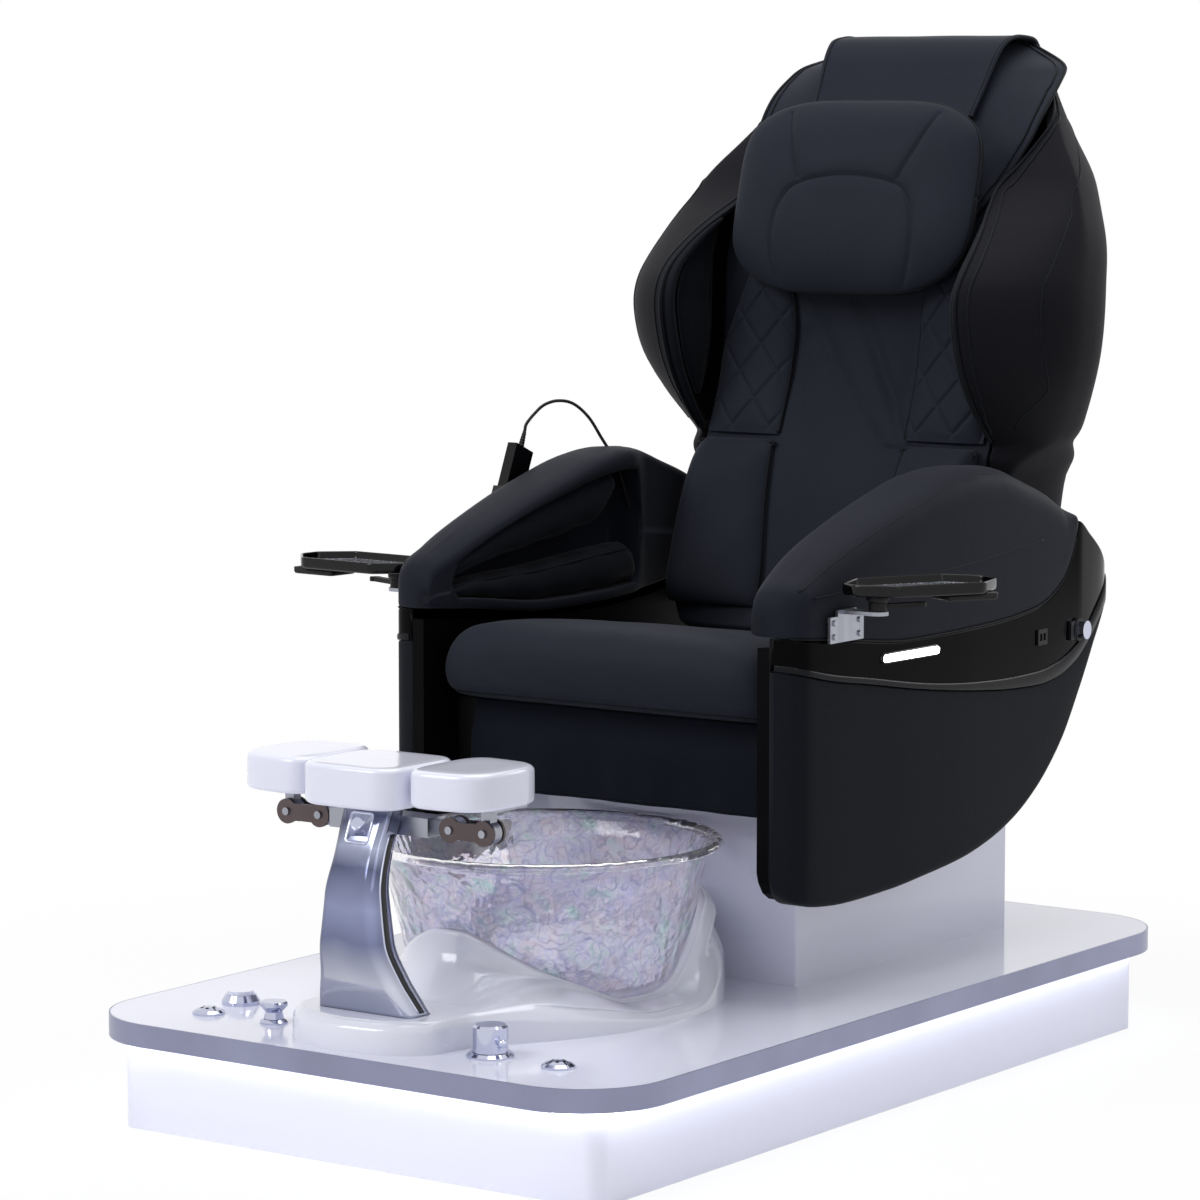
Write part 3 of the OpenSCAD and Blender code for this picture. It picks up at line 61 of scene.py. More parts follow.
LAMPS = [  # name, place, aim, size, watts
    ("key", (-1.6, -3.6, 3.4), (0, 0, 0.6), (2.6, 2.2), 104),
    ("fill", (3.8, -1.6, 2.4), (0, 0, 0.6), (2.4, 2.4), 14),
    ("top", (0.2, 0.4, 3.9), (0, 0.2, 0.8), (2.4, 2.4), 62),
    ("rear", (1.2, 3.8, 2.6), (0, 0, 0.8), (2.4, 2.0), 36),
]
for name, pos, target, size, power in LAMPS:
    data = bpy.data.lights.new(name, "AREA")
    data.shape = "RECTANGLE"
    data.size, data.size_y = size
    data.energy = power
    lamp = link(name, data, pos)
    lamp.rotation_euler = (Vector(target) - Vector(pos)).to_track_quat("-Z", "Y").to_euler()


def add(tree, kind, values=None, **props):
    """New node with its properties and constant sockets set."""
    node = tree.nodes.new(kind)
    for key, value in props.items():
        setattr(node, key, value)
    for key, value in (values or {}).items():
        node.inputs[key].default_value = value
    return node


def direct_rays(tree):
    """1 for camera, glossy and transmission rays, 0 for the others."""
    path = add(tree, "ShaderNodeLightPath")
    last = path.outputs["Is Camera Ray"]
    for name in ("Is Glossy Ray", "Is Transmission Ray"):
        top = add(tree, "ShaderNodeMath", operation="MAXIMUM")
        tree.links.new(last, top.inputs[0])
        tree.links.new(path.outputs[name], top.inputs[1])
        last = top.outputs[0]
    return last


def show(tree, share, first, second, out_kind):
    """Mix of two shaders, the second by the share, sent to the output."""
    mix, out = add(tree, "ShaderNodeMixShader"), add(tree, out_kind)
    tree.links.new(share, mix.inputs["Fac"])
    tree.links.new(first.outputs[0], mix.inputs[1])
    tree.links.new(second.outputs[0], mix.inputs[2])
    tree.links.new(mix.outputs[0], out.inputs["Surface"])


def build_world():
    world = bpy.data.worlds.new("studio")
    bpy.context.scene.world = world
    world.use_nodes = True
    tree = world.node_tree
    tree.nodes.clear()
    plain = add(tree, "ShaderNodeBackground", {"Color": (0.93, 0.95, 1.0, 1), "Strength": 0.34})
    white = add(tree, "ShaderNodeBackground", {"Color": (1, 1, 1, 1), "Strength": 1.0})
    show(tree, direct_rays(tree), plain, white, "ShaderNodeOutputWorld")


build_world()


# ---------------- materials
def srgb(r, g, b):
    """Linear colour of an 8-bit one."""
    def linear(c):
        return c / 255 / 12.92 if c <= 10 else ((c / 255 + 0.055) / 1.055) ** 2.4

    return (linear(r), linear(g), linear(b), 1)


class Mat:
    """A Principled material and short calls that add its nodes."""

    def __init__(self, name, colour, rough=0.5, metal=0.0, **fixed):
        self.m = bpy.data.materials.new(name)
        self.m.use_nodes = True
        self.t = self.m.node_tree
        self.b = self.t.nodes["Principled BSDF"]
        fixed.update({"Base_Color": colour, "Roughness": rough, "Metallic": metal})
        for key, value in fixed.items():
            self.b.inputs[key.replace("_", " ")].default_value = value
        self.xyz = add(self.t, "ShaderNodeTexCoord").outputs["Object"]

    def link(self, a, b):
        self.t.links.new(a, b)

    def feed(self, key, source):
        self.link(source, self.b.inputs[key])

    def place(self, stretch):
        if stretch is None:
            return self.xyz
        n = add(self.t, "ShaderNodeMapping", {"Scale": stretch})
        self.link(self.xyz, n.inputs["Vector"])
        return n.outputs[0]

    def noise(self, scale, detail=3.0, rough=0.5, stretch=None):
        values = {"Scale": scale, "Detail": detail, "Roughness": rough}
        n = add(self.t, "ShaderNodeTexNoise", values)
        self.link(self.place(stretch), n.inputs["Vector"])
        return n.outputs["Fac"]

    def cells(self, scale):
        n = add(self.t, "ShaderNodeTexVoronoi", {"Scale": scale}, feature="F1")
        self.link(self.xyz, n.inputs["Vector"])
        return n.outputs["Distance"]

    def ramp(self, fac, stops):
        n = add(self.t, "ShaderNodeValToRGB")
        ramp = n.color_ramp
        while len(ramp.elements) < len(stops):
            ramp.elements.new(0.5)
        for e, (pos, colour) in zip(ramp.elements, stops):
            e.position = pos
            e.color = colour
        self.link(fac, n.inputs["Fac"])
        return n.outputs["Color"]

    def grey(self, fac, low, high):
        n = add(self.t, "ShaderNodeMapRange", {"To Min": low, "To Max": high})
        self.link(fac, n.inputs["Value"])
        return n.outputs["Result"]

    def blend(self, fac, a, b, mode="MIX"):
        n = add(self.t, "ShaderNodeMix", data_type="RGBA", blend_type=mode)
        for socket, value in ((0, fac), (6, a), (7, b)):
            if hasattr(value, "is_linked"):
                self.link(value, n.inputs[socket])
            else:
                n.inputs[socket].default_value = value
        return n.outputs[2]

    def bumps(self, *layers):
        """Bump from (height, strength, distance) layers, one on the other."""
        last = None
        for height, strength, distance in layers:
            n = add(self.t, "ShaderNodeBump", {"Strength": strength, "Distance": distance})
            self.link(height, n.inputs["Height"])
            if last:
                self.link(last, n.inputs["Normal"])
            last = n.outputs["Normal"]
        self.feed("Normal", last)


def leather(name, dark, light, rough=0.56, grain=620.0, spec=0.4):
    fixed = {"Specular_IOR_Level": spec, "Sheen_Weight": 0.04, "Sheen_Roughness": 0.5}
    m = Mat(name, light, rough, **fixed)
    tone = m.blend(m.grey(m.noise(6.5, 5, 0.62), 0.25, 0.85), dark, light)
    m.feed("Base Color", m.blend(m.grey(m.noise(900, 2), 0.0, 0.06), tone, srgb(84, 92, 112)))
    pebble = m.cells(grain)
    m.feed("Roughness", m.grey(pebble, rough - 0.07, rough + 0.09))
    m.bumps((pebble, 0.28, 0.0003), (m.noise(60, 4), 0.10, 0.002))
    return m.m


def gloss(name, low, high, rough=0.14, coat=0.35, wave=0.02, spec=0.5):
    m = Mat(name, high, rough, Coat_Weight=coat, Coat_Roughness=0.06, Specular_IOR_Level=spec)
    m.feed("Base Color", m.blend(m.noise(2.2, 3), low, high))
    m.feed("Roughness", m.grey(m.noise(140, 3), rough * 0.8, rough * 1.4))
    m.bumps((m.noise(9, 2), wave, 0.004))
    return m.m


def metal(name, low, high, rough=0.2, stretch=None, scratch=0.15):
    m = Mat(name, high, rough, 1.0)
    m.feed("Base Color", m.blend(m.noise(6, 3, stretch=stretch), low, high))
    streak = m.noise(260, 4, 0.6, stretch)
    m.feed("Roughness", m.grey(streak, rough * 0.7, rough * 1.5))
    m.bumps((streak, scratch, 0.0002))
    return m.m


def plastic(name, low, high, rough=0.5, grain=900.0, spec=0.5):
    m = Mat(name, high, rough, Specular_IOR_Level=spec)
    m.feed("Base Color", m.blend(m.noise(8, 3), low, high))
    m.feed("Roughness", m.grey(m.noise(60, 3), rough - 0.08, rough + 0.08))
    m.bumps((m.noise(grain, 2), 0.2, 0.0002))
    return m.m


def lit(name, colour, strength):
    m = Mat(name, colour, 0.4, Emission_Color=colour, Emission_Strength=strength)
    m.feed("Roughness", m.grey(m.noise(30, 2), 0.35, 0.5))
    return m.m


def bowl_glass():
    m = Mat("bowl_glass", srgb(244, 246, 252), 0.03, **{
        "Transmission_Weight": 0.8, "IOR": 1.3, "Coat_Weight": 0.6, "Coat_Roughness": 0.03,
    })
    # the contours of a fine noise read as the crinkles of hammered glass; their pale and dark
    # bands in the colour are painted highlights and painted shade, and the tints over them are
    # painted iridescent glints
    crinkle = m.noise(36, 1.5, 0.5)
    pale, mid, dark = srgb(255, 255, 255), srgb(243, 245, 251), srgb(205, 210, 225)
    painted_crinkle_light = m.ramp(crinkle, [
        (0.30, mid), (0.36, pale), (0.41, dark), (0.45, pale), (0.50, mid), (0.54, pale),
        (0.59, dark), (0.63, pale), (0.70, mid),
    ])
    painted_iridescent_glints = m.ramp(m.noise(30, 3, 0.6), [
        (0.32, srgb(214, 250, 238)), (0.41, srgb(255, 255, 255)), (0.49, srgb(236, 230, 255)),
        (0.53, srgb(255, 255, 255)), (0.59, srgb(255, 236, 246)), (0.66, srgb(248, 255, 250)),
        (0.74, srgb(228, 242, 255)),
    ])
    m.feed("Base Color", m.blend(1.0, painted_crinkle_light, painted_iridescent_glints, "MULTIPLY"))
    m.bumps((crinkle, 0.9, 0.006), (m.noise(95, 2, 0.5), 0.4, 0.002))
    return m.m


def stand_chrome():
    """Bright plate with painted reflections: its tone runs from pale at the foot to darker
    reflected bands higher up.
    """
    m = Mat("stand_chrome", srgb(160, 164, 190), 0.1, 1.0)
    split = add(m.t, "ShaderNodeSeparateXYZ")
    m.link(m.xyz, split.inputs[0])
    bend = add(m.t, "ShaderNodeMath", {1: 0.05}, operation="MULTIPLY_ADD")
    m.link(m.noise(9, 2), bend.inputs[0])
    m.link(split.outputs["Z"], bend.inputs[2])
    height = add(m.t, "ShaderNodeMapRange", {"From Min": 0.19, "From Max": 0.48})
    m.link(bend.outputs[0], height.inputs["Value"])
    # painted reflections: light and dark bands by height stand in for the surroundings mirrored in
    # the chrome
    tone = m.ramp(height.outputs["Result"], [
        (0.0, srgb(176, 182, 204)), (0.22, srgb(204, 208, 222)), (0.42, srgb(120, 126, 158)),
        (0.56, srgb(150, 156, 190)), (0.72, srgb(92, 97, 124)), (0.82, srgb(170, 176, 200)),
        (0.92, srgb(84, 88, 112)), (1.0, srgb(190, 194, 212)),
    ])
    # painted reflection: the plate's colour darkens towards its grazing edges
    painted_edge_reflection = add(m.t, "ShaderNodeLayerWeight", {"Blend": 0.35}).outputs["Facing"]
    m.feed("Base Color", m.blend(painted_edge_reflection, tone, srgb(60, 63, 84)))
    m.feed("Roughness", m.grey(m.noise(150, 3), 0.07, 0.16))
    m.bumps((m.noise(14, 2), 0.05, 0.004))
    return m.m


def speckle():
    """Pale stone-like chips in a grey ground, under a clear coat."""
    m = Mat("tray_liner", srgb(150, 154, 160), 0.22, Coat_Weight=0.5, Coat_Roughness=0.05)
    grain = m.noise(420, 3)
    tone = m.ramp(m.cells(240), [
        (0.10, srgb(226, 230, 236)), (0.22, srgb(150, 154, 162)), (0.5, srgb(92, 95, 104)),
    ])
    m.feed("Base Color", m.blend(m.grey(grain, 0.0, 0.6), tone, srgb(60, 62, 70)))
    m.bumps((grain, 0.25, 0.0006))
    return m.m


LOOKS = {  # key: (maker, name, dark or low tone, light or high tone, further values)
    "leather": (leather, "soft_leather", (22, 24, 31), (35, 38, 47), {"spec": 0.05}),
    "arm": (leather, "arm_leather", (18, 19, 25), (29, 31, 39), {"spec": 0.04}),
    "shell": (leather, "shell_leather", (14, 13, 15), (20, 19, 21), {"rough": 0.58, "spec": 0.03}),
    "lining": (leather, "lining_leather", (9, 10, 14), (15, 17, 22), {"rough": 0.6, "spec": 0.05}),
    # side panel leather: dark leather, darkened further as painted shade for a side that faces
    # away from the light
    "panel": (leather, "panel_leather", (12, 13, 16), (17, 18, 22),
              {"rough": 0.52, "grain": 760.0, "spec": 0.03}),
    "seam": (leather, "piping_leather", (7, 8, 11), (12, 13, 17),
             {"rough": 0.5, "grain": 1500.0, "spec": 0.06}),
    "cloth": (leather, "skirt_cloth", (8, 10, 17), (14, 17, 26),
              {"rough": 0.7, "grain": 1300.0, "spec": 0.04}),
    "white": (gloss, "white_lacquer", (226, 227, 243), (233, 234, 247), {"rough": 0.12}),
    "base_white": (gloss, "moulded_white", (228, 229, 243), (234, 235, 245), {"rough": 0.10}),
    "plinth": (gloss, "plinth_lacquer", (232, 232, 246), (238, 238, 249),
               {"rough": 0.3, "coat": 0.15}),
    "trim": (gloss, "piano_black", (3, 3, 4), (6, 6, 8),
             {"rough": 0.05, "coat": 0.0, "wave": 0.01, "spec": 0.03}),
    "lip": (gloss, "grey_lip", (14, 15, 18), (20, 21, 26),
            {"rough": 0.26, "coat": 0.0, "spec": 0.1}),
    "inlay": (gloss, "inlay_black", (10, 10, 14), (20, 20, 26),
              {"rough": 0.08, "coat": 0.1, "spec": 0.3}),
    "tray": (gloss, "tray_black", (3, 3, 4), (8, 8, 10),
             {"rough": 0.06, "coat": 0.0, "spec": 0.25}),
    "chrome": (metal, "chrome_metal", (176, 180, 204), (206, 210, 226), {"rough": 0.08}),
    "steel": (metal, "satin_steel", (140, 142, 152), (178, 180, 190),
              {"rough": 0.28, "stretch": (1, 12, 1)}),
    "band": (metal, "band_metal", (126, 128, 150), (156, 160, 186),
             {"rough": 0.3, "scratch": 0.05}),
    "brown": (metal, "link_metal", (78, 68, 68), (112, 102, 104), {"rough": 0.34}),
    "brass": (metal, "valve_brass", (150, 112, 60), (190, 150, 84), {"rough": 0.34}),
    "frame": (plastic, "powder_black", (6, 6, 7), (11, 11, 13), {"rough": 0.45, "spec": 0.2}),
    "board": (plastic, "board_laminate", (4, 4, 5), (7, 7, 9),
              {"rough": 0.4, "grain": 500.0, "spec": 0.04}),
    "dull": (plastic, "dull_plastic", (8, 8, 10), (16, 16, 19), {"spec": 0.25}),
    "grey": (plastic, "grey_plastic", (66, 68, 73), (92, 94, 100), {}),
    "cream": (plastic, "roller_cream", (186, 176, 152), (206, 198, 176), {}),
    "rubber": (plastic, "cable_rubber", (7, 7, 9), (12, 12, 15), {"rough": 0.55, "spec": 0.25}),
}
M = {
    key: maker(name, srgb(*low), srgb(*high), **more)
    for key, (maker, name, low, high, more) in LOOKS.items()
}
M["stand"] = stand_chrome()
M["glass"] = bowl_glass()
M["liner"] = speckle()
M["led"] = lit("led_glow", (0.92, 0.95, 1.0, 1), 5.0)
M["bar"] = lit("bar_glow", (1.0, 0.99, 0.96, 1), 9.0)


# ---------------- numbers
def plain(v):
    """An array as it is, and a single number as a float."""
    return v if np.ndim(v) else float(v)


def curve(table):
    """Smooth, never-overshooting line through (x, y) pairs."""
    x, y = np.array(table, float).T
    h = np.diff(x)
    d = np.diff(y) / h
    m = np.zeros(len(x))
    same = d[:-1] * d[1:] > 0
    w1, w2 = 2 * h[1:] + h[:-1], h[1:] + 2 * h[:-1]
    with np.errstate(divide="ignore", invalid="ignore"):
        inner = (w1 + w2) / (w1 / d[:-1] + w2 / d[1:])
    m[1:-1] = np.where(same, inner, 0)
    m[0], m[-1] = d[0], d[-1]

    def f(q):
        q = np.clip(np.asarray(q, float), x[0], x[-1])
        i = np.clip(np.searchsorted(x, q, side="right") - 1, 0, len(x) - 2)
        t = (q - x[i]) / h[i]
        a, b = y[i], y[i + 1]
        return plain(
            (2 * t**3 - 3 * t**2 + 1) * a + (t**3 - 2 * t**2 + t) * h[i] * m[i]
            + (3 * t**2 - 2 * t**3) * b + (t**3 - t**2) * h[i] * m[i + 1]
        )

    return f


def curves(table):
    """One curve for each column after the first; None leaves its row out."""
    return [
        curve([(row[0], row[k]) for row in table if row[k] is not None])
        for k in range(1, len(table[0]))
    ]


def softened(line, low, high, span=26.0):
    """The curve averaged over a window that closes towards both ends."""
    def f(z):
        z = np.asarray(z, float)
        w = np.minimum(span, np.minimum(z - low, high - z)).clip(0)
        return plain(sum(line(z + k * w) for k in np.linspace(-1, 1, 9)) / 9)

    return f


def ease(v, a, b):
    """Smooth step from 0 at a to 1 at b."""
    t = np.clip((np.asarray(v, float) - a) / (b - a), 0, 1)
    return plain(t * t * (3 - 2 * t))


def spow(v, p):
    """Power that keeps the sign."""
    return np.sign(v) * np.abs(v) ** p


def around(n):
    """n angles evenly spaced round a turn."""
    return np.arange(n) * 2 * math.pi / n


def bunched(n):
    """n values from 0 to 1, closer together towards both ends."""
    return (1 - np.cos(np.linspace(0, math.pi, n))) / 2


def steps(*spans):
    """Sorted values of several (start, end, count) runs."""
    return np.unique(np.concatenate([np.linspace(*span) for span in spans]))


def level(z, *columns):
    """Points from a plan, or from its x and its y, all at one height."""
    return np.column_stack([*columns, np.full(len(columns[0]), z)])


def near(points, line):
    """Least distance from each 2-D or 3-D point to a polyline."""
    points, line = np.asarray(points, float), np.asarray(line, float)
    best = np.full(len(points), 1e9)
    for a, b in zip(line[:-1], line[1:]):
        d = b - a
        t = np.clip(((points - a) @ d) / max(d @ d, 1e-9), 0, 1)
        best = np.minimum(best, np.linalg.norm(points - a - t[:, None] * d, axis=1))
    return best


def along(line):
    """Running length at each point of a polyline."""
    return np.concatenate([[0], np.cumsum(np.linalg.norm(np.diff(line, axis=0), axis=1))])


def groove(d, width):
    """1 on a line, falling off over its width."""
    return np.exp(-((d / width) ** 2))


def catmull(t):
    """Weights of four points for a place t between the middle two."""
    return (
        -0.5 * t + t * t - 0.5 * t**3, 1 - 2.5 * t * t + 1.5 * t**3,
        0.5 * t + 2 * t * t - 1.5 * t**3, -0.5 * t * t + 0.5 * t**3,
    )


def spline(points, n=8):
    """Catmull-Rom line through points, n steps a span."""
    p = np.array(points, float)
    p = np.vstack([2 * p[0] - p[1], p, 2 * p[-1] - p[-2]])
    out = []
    for four in zip(p[:-3], p[1:-2], p[2:-1], p[3:]):
        out += [sum(w * q for w, q in zip(catmull(t), four)) for t in np.arange(n) / n]
    out.append(p[-2])
    return np.array(out)


def corner(x0, y0, x1, y1, x2, y2, n):
    """Quarter-round from one point by way of a corner to another."""
    out = []
    for i in range(n + 1):
        t = i / n
        a, b, c = (1 - t) ** 2, 2 * t * (1 - t), t * t
        out.append((a * x0 + b * x1 + c * x2, a * y0 + b * y1 + c * y2))
    return out


def rounded(a, b, r, n=8):
    """Rectangle of half sides a and b with corners of radius r."""
    t = np.radians(90 * (np.arange(4)[:, None] + np.arange(n + 1)[None] / n)).ravel()
    sx = np.repeat([1, -1, -1, 1], n + 1)
    sy = np.repeat([1, 1, -1, -1], n + 1)
    return np.stack([sx * (a - r) + r * np.cos(t), sy * (b - r) + r * np.sin(t)], -1)


def word(s):
    return "left" if s > 0 else "right"


# ---------------- meshes
def make(name, points, faces, material, body):
    """Smooth mesh from points in millimetres, riding on a body."""
    mesh = bpy.data.meshes.new(name)
    mesh.from_pydata((np.asarray(points, float) * MM).tolist(), [], faces)
    mesh.validate()
    mesh.update()
    obj = link(name, mesh, (0, 0, 0))
    mesh.materials.append(M[material])
    mesh.polygons.foreach_set("use_smooth", [True] * len(mesh.polygons))
    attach(obj, body)
    return obj


def ring_faces(m, n, closed=True, first=True, last=True, flip=False):
    """Faces of m rings of n points, with the first and the last capped unless told otherwise."""
    faces = []
    for i in range(m - 1):
        for j in range(n if closed else n - 1):
            k = (j + 1) % n
            faces.append((i * n + j, i * n + k, (i + 1) * n + k, (i + 1) * n + j))
    if first:
        faces.append(tuple(reversed(range(n))))
    if last:
        faces.append(tuple(range((m - 1) * n, m * n)))
    if flip:
        faces = [tuple(reversed(f)) for f in faces]
    return faces


def loft(name, rings, material, body, flip=False, first=True, last=True):
    """Piece through like rings of points."""
    faces = ring_faces(len(rings), len(rings[0]), first=first, last=last, flip=flip)
    return make(name, np.concatenate(rings), faces, material, body)


def solid_sheet(name, front, rear, material, body, flip=False):
    """Closed piece from a grid of front points and a like grid of rear points."""
    front, rear = np.asarray(front), np.asarray(rear)
    m, n = front.shape[:2]
    points = np.concatenate([front.reshape(-1, 3), rear.reshape(-1, 3)])
    faces = ring_faces(m, n, closed=False, first=False, last=False, flip=flip)
    faces += [tuple(v + m * n for v in reversed(face)) for face in faces]
    border = list(range(n)) + [i * n + n - 1 for i in range(1, m)]
    border += [(m - 1) * n + j for j in range(n - 2, -1, -1)]
    border += [i * n for i in range(m - 2, 0, -1)]
    rim = [(a, a + m * n, b + m * n, b) for a, b in zip(border, border[1:] + border[:1])]
    if flip:
        rim = [tuple(reversed(face)) for face in rim]
    return make(name, points, faces + rim, material, body)


def tube(name, line, r, body, sides=8, material="seam"):
    """Round tube along a line; r is one radius or one for each point."""
    p = np.asarray(line, float)
    t = np.gradient(p, axis=0)
    t /= np.linalg.norm(t, axis=1)[:, None] + 1e-12
    u = np.cross(t[0], [0.3, 0.5, 0.8])
    u /= np.linalg.norm(u)
    a = around(sides)
    rings = []
    for q, d, r_here in zip(p, t, np.broadcast_to(r, len(p))):
        u = u - d * (u @ d)
        u /= np.linalg.norm(u)
        w = np.cross(d, u)
        rings.append(q + r_here * (np.cos(a)[:, None] * u + np.sin(a)[:, None] * w))
    return loft(name, rings, material, body)


def lathe(name, profile, place, material, body, sides=32, flip=False):
    """Turned piece: profile is (radius, height) pairs, place maps x, y, z to millimetres."""
    turn = [(math.cos(a), math.sin(a)) for a in around(sides)]
    rings = [[place(r * c, r * s, h) for c, s in turn] for r, h in profile]
    return loft(name, rings, material, body, flip=flip)


# ---------------- handset cable
def leaning(origin, lean):
    """Maps a point of a frame that stands at origin and leans back by lean degrees."""
    c, s = math.cos(math.radians(lean)), math.sin(math.radians(lean))

    def f(x, y, z):
        return (origin[0] + x, origin[1] + y * c + z * s, origin[2] + z * c - y * s)

    return f


in_holder = leaning((-360, 148, 746), 23)
relief_top = in_holder(0, 0, 114.8)
CABLE = [
    in_holder(0, 0, 115.4), in_holder(0, 0, 125.8),
    (-357, 213, 876), (-351, 229, 888), (-340, 247, 893), (-327, 266, 888), (-313, 284, 868),
    (-302, 300, 838), (-289, 313, 808), (-283, 322, 780), (-279, 333, 745), (-275, 346, 714),
    (-273, 362, 690), (-275, 376, 672), (-277, 384, 663.4), (-277, 384, 657.0),
]
cable_line = spline(CABLE, 6)
cable = tube("handset_lead", cable_line, 2.3, "chair", 12, "rubber")
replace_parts(cable, "handset_cable")


def relief_profile(r0, r1, l, rings=5):
    """Ribbed sleeve that narrows from r0 to r1 over length l."""
    out = [(r0 * 0.9, 0), (r0, 0.6)]
    step = (l - 4) / rings
    for i in range(rings):
        z = 2 + (l - 4) * i / rings
        r = r0 + (r1 - r0) * z / l
        out += [(r, z), (r, z + step * 0.45)]
        out += [(r - 0.55, z + step * 0.55), (r - 0.6, z + step * 0.95)]
    return out + [(r1, l - 1.4), (r1 - 0.3, l)]


relief_a = lathe(
    "relief_handset", relief_profile(4.5, 2.8, 24),
    lambda x, y, z: in_holder(x, y, 90.8 + z), "rubber", "chair",
)
relief_b = lathe(
    "relief_armrest", relief_profile(6, 3.5, 10, 2),
    lambda x, y, z: (-277 + x, 384 + y, 646.4 + z), "rubber", "chair",
)
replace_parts(relief_a, "cable_relief")
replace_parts(relief_b, "cable_relief")
cable_length = float(along(cable_line)[-1]) * MM

# ---------------- foot bowl and its base
BOWL_Y, DECK = -249.0, 150.0  # the bowl's middle and the deck's top
bowl_r = curve([
    (0, 78), (3, 122), (8, 148), (16, 164), (28, 174), (52, 182), (85, 191), (130, 203),
    (170, 213), (191, 222),
])
base_plan = curve([  # radius at an angle from the front
    (0, 436), (8, 430), (13, 416), (16, 402), (20, 352), (30, 313), (42, 288), (54, 270),
    (77, 246), (98, 236), (126, 236), (137, 242), (150, 240), (165, 233), (180, 228.5),
])
base_lip = curve([  # height at an angle from the front
    (0, 119), (5, 118), (11, 111), (19, 97), (34, 70), (53, 45), (75, 22), (95, 22), (112, 70),
    (128, 130), (150, 138), (180, 138),
])


def build_base():
    """Moulded base: a long foot in front, low sides and a collar behind the bowl."""
    turn = np.arange(216) * 360 / 216
    b = np.where(turn > 180, 360 - turn, turn)
    plan, lip = base_plan(b), base_lip(b)
    hold = bowl_r(lip - 8) + 0.4  # the glass's radius at the lip, with a small gap
    front = 1 - ease(b, 16, 46)
    rear = 1 - front
    keys = np.array([  # radius and height, from the outer wall's foot over the lip to the floor
        (plan, 0 * lip),
        (plan - 1.5, front * 26 + rear * lip * 0.34),
        (plan - 6, front * 34 + rear * lip * 0.48),
        (plan - 15, front * 39.4 + rear * lip * 0.63),
        (plan - 30 * front - 19 * rear, front * 40 + rear * lip * 0.71),
        (front * 290 + rear * (hold + 24), front * 40 + rear * lip * 0.84),
        (front * 262 + rear * (hold + 16), front * 44 + rear * (lip - 5)),
        (hold + front * 24 + rear * 12, front * lip * 0.72 + rear * (lip - 2)),
        (hold + 9 + front * 8, lip - 3.0),
        (hold + 5 + front * 4, lip - 0.6),
        (hold + 1.2, lip - 0.3),
        (hold + 0.6, lip - 3),
        (bowl_r(lip * 0.5) - 2, lip * 0.5 + 6),
        (84 + 0 * lip, 7.6 + 0 * lip),
    ])
    last = len(keys) - 1
    line = []
    for i in range(last):
        four = [keys[min(max(k, 0), last)] for k in range(i - 1, i + 3)]
        parts = 4 if 0 < i < 9 else 1
        for t in np.arange(parts) / parts:
            line.append(sum(w * key for w, key in zip(catmull(t), four)))
    line = np.array(line + [keys[-1]])
    r, z, a = line[:, 0], np.maximum(line[:, 1], 0), np.radians(turn)
    rings = np.stack([r * np.sin(a), BOWL_Y - r * np.cos(a), DECK + z], -1)
    obj = loft("base_moulding", rings, "base_white", "base", first=False, last=False)
    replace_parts(obj, "bowl_base")


build_base()


def build_bowl():
    """Blown glass: small soft dents over both faces, with a smooth thick rim."""
    rng = np.random.default_rng(7)
    a = around(320)
    heights = steps((0, 3, 3), (5.5, 8, 2), (12, 16, 2), (22, 28, 2), (34, 191, 58))
    outer = [(bowl_r(h), h) for h in heights]
    rim = [
        (227.5 - 7.5 * math.cos(math.radians(q)), 196.5 + 7.5 * math.sin(math.radians(q)))
        for q in range(-16, 201, 18)
    ]
    inner = [(r - 8, h + (8 if r < 165 else 2.8)) for r, h in reversed(outer)]
    # dents: random spots on the wall, each a shallow hollow or swell
    count = 900
    spots = np.stack([rng.uniform(0, 2 * math.pi, count), rng.uniform(18, 186, count)], -1)
    size = rng.uniform(6.5, 11.5, count)
    deep = rng.uniform(-1.1, 1.1, count)

    def dent(h, r):
        out = np.zeros_like(a)
        for (turn, height), w, d in zip(spots, size, deep):
            if abs(h - height) > 2.4 * w:
                continue
            u = (np.mod(a - turn + math.pi, 2 * math.pi) - math.pi) * r
            out += d * np.exp(-(u * u + (h - height) ** 2) / (w * w))
        return out

    def ring(r, h):
        return level(DECK + 8 + h, r * np.cos(a), BOWL_Y + r * np.sin(a))

    rings = []
    for part, share, sunk in ((outer, 1.0, 0.9), (rim, 0.0, 0.0), (inner, 0.7, 0.0)):
        for r, h in part:
            fade = ease(h, 14, 30) * (1 - ease(h, 178, 190))
            rings.append(ring(r + fade * (dent(h, r) * share - sunk), h))
    # both bottoms end at the drain's ring
    rings += [ring(22, 8), ring(22, 0)]
    points = np.concatenate(rings)
    faces = ring_faces(len(rings) + 1, len(a), first=False, last=False)
    faces = [tuple(v % len(points) for v in face) for face in faces]
    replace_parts(make("glass_vessel", points, faces, "glass", "base"), "glass_bowl")


build_bowl()


# ---------------- footrest stand and pads
STAND_Z = 190  # foot of the stand's cover
stand_half = curve([
    (0, 76), (20, 68), (45, 58), (95, 46), (150, 40), (205, 36), (250, 38), (262, 38),
])
stand_mid = curve([
    (0, -609), (45, -628), (95, -643), (150, -643), (205, -628), (250, -610), (262, -606),
])
stand_deep = curve([(0, 24), (45, 25), (95, 25), (150, 23), (205, 21), (262, 20)])


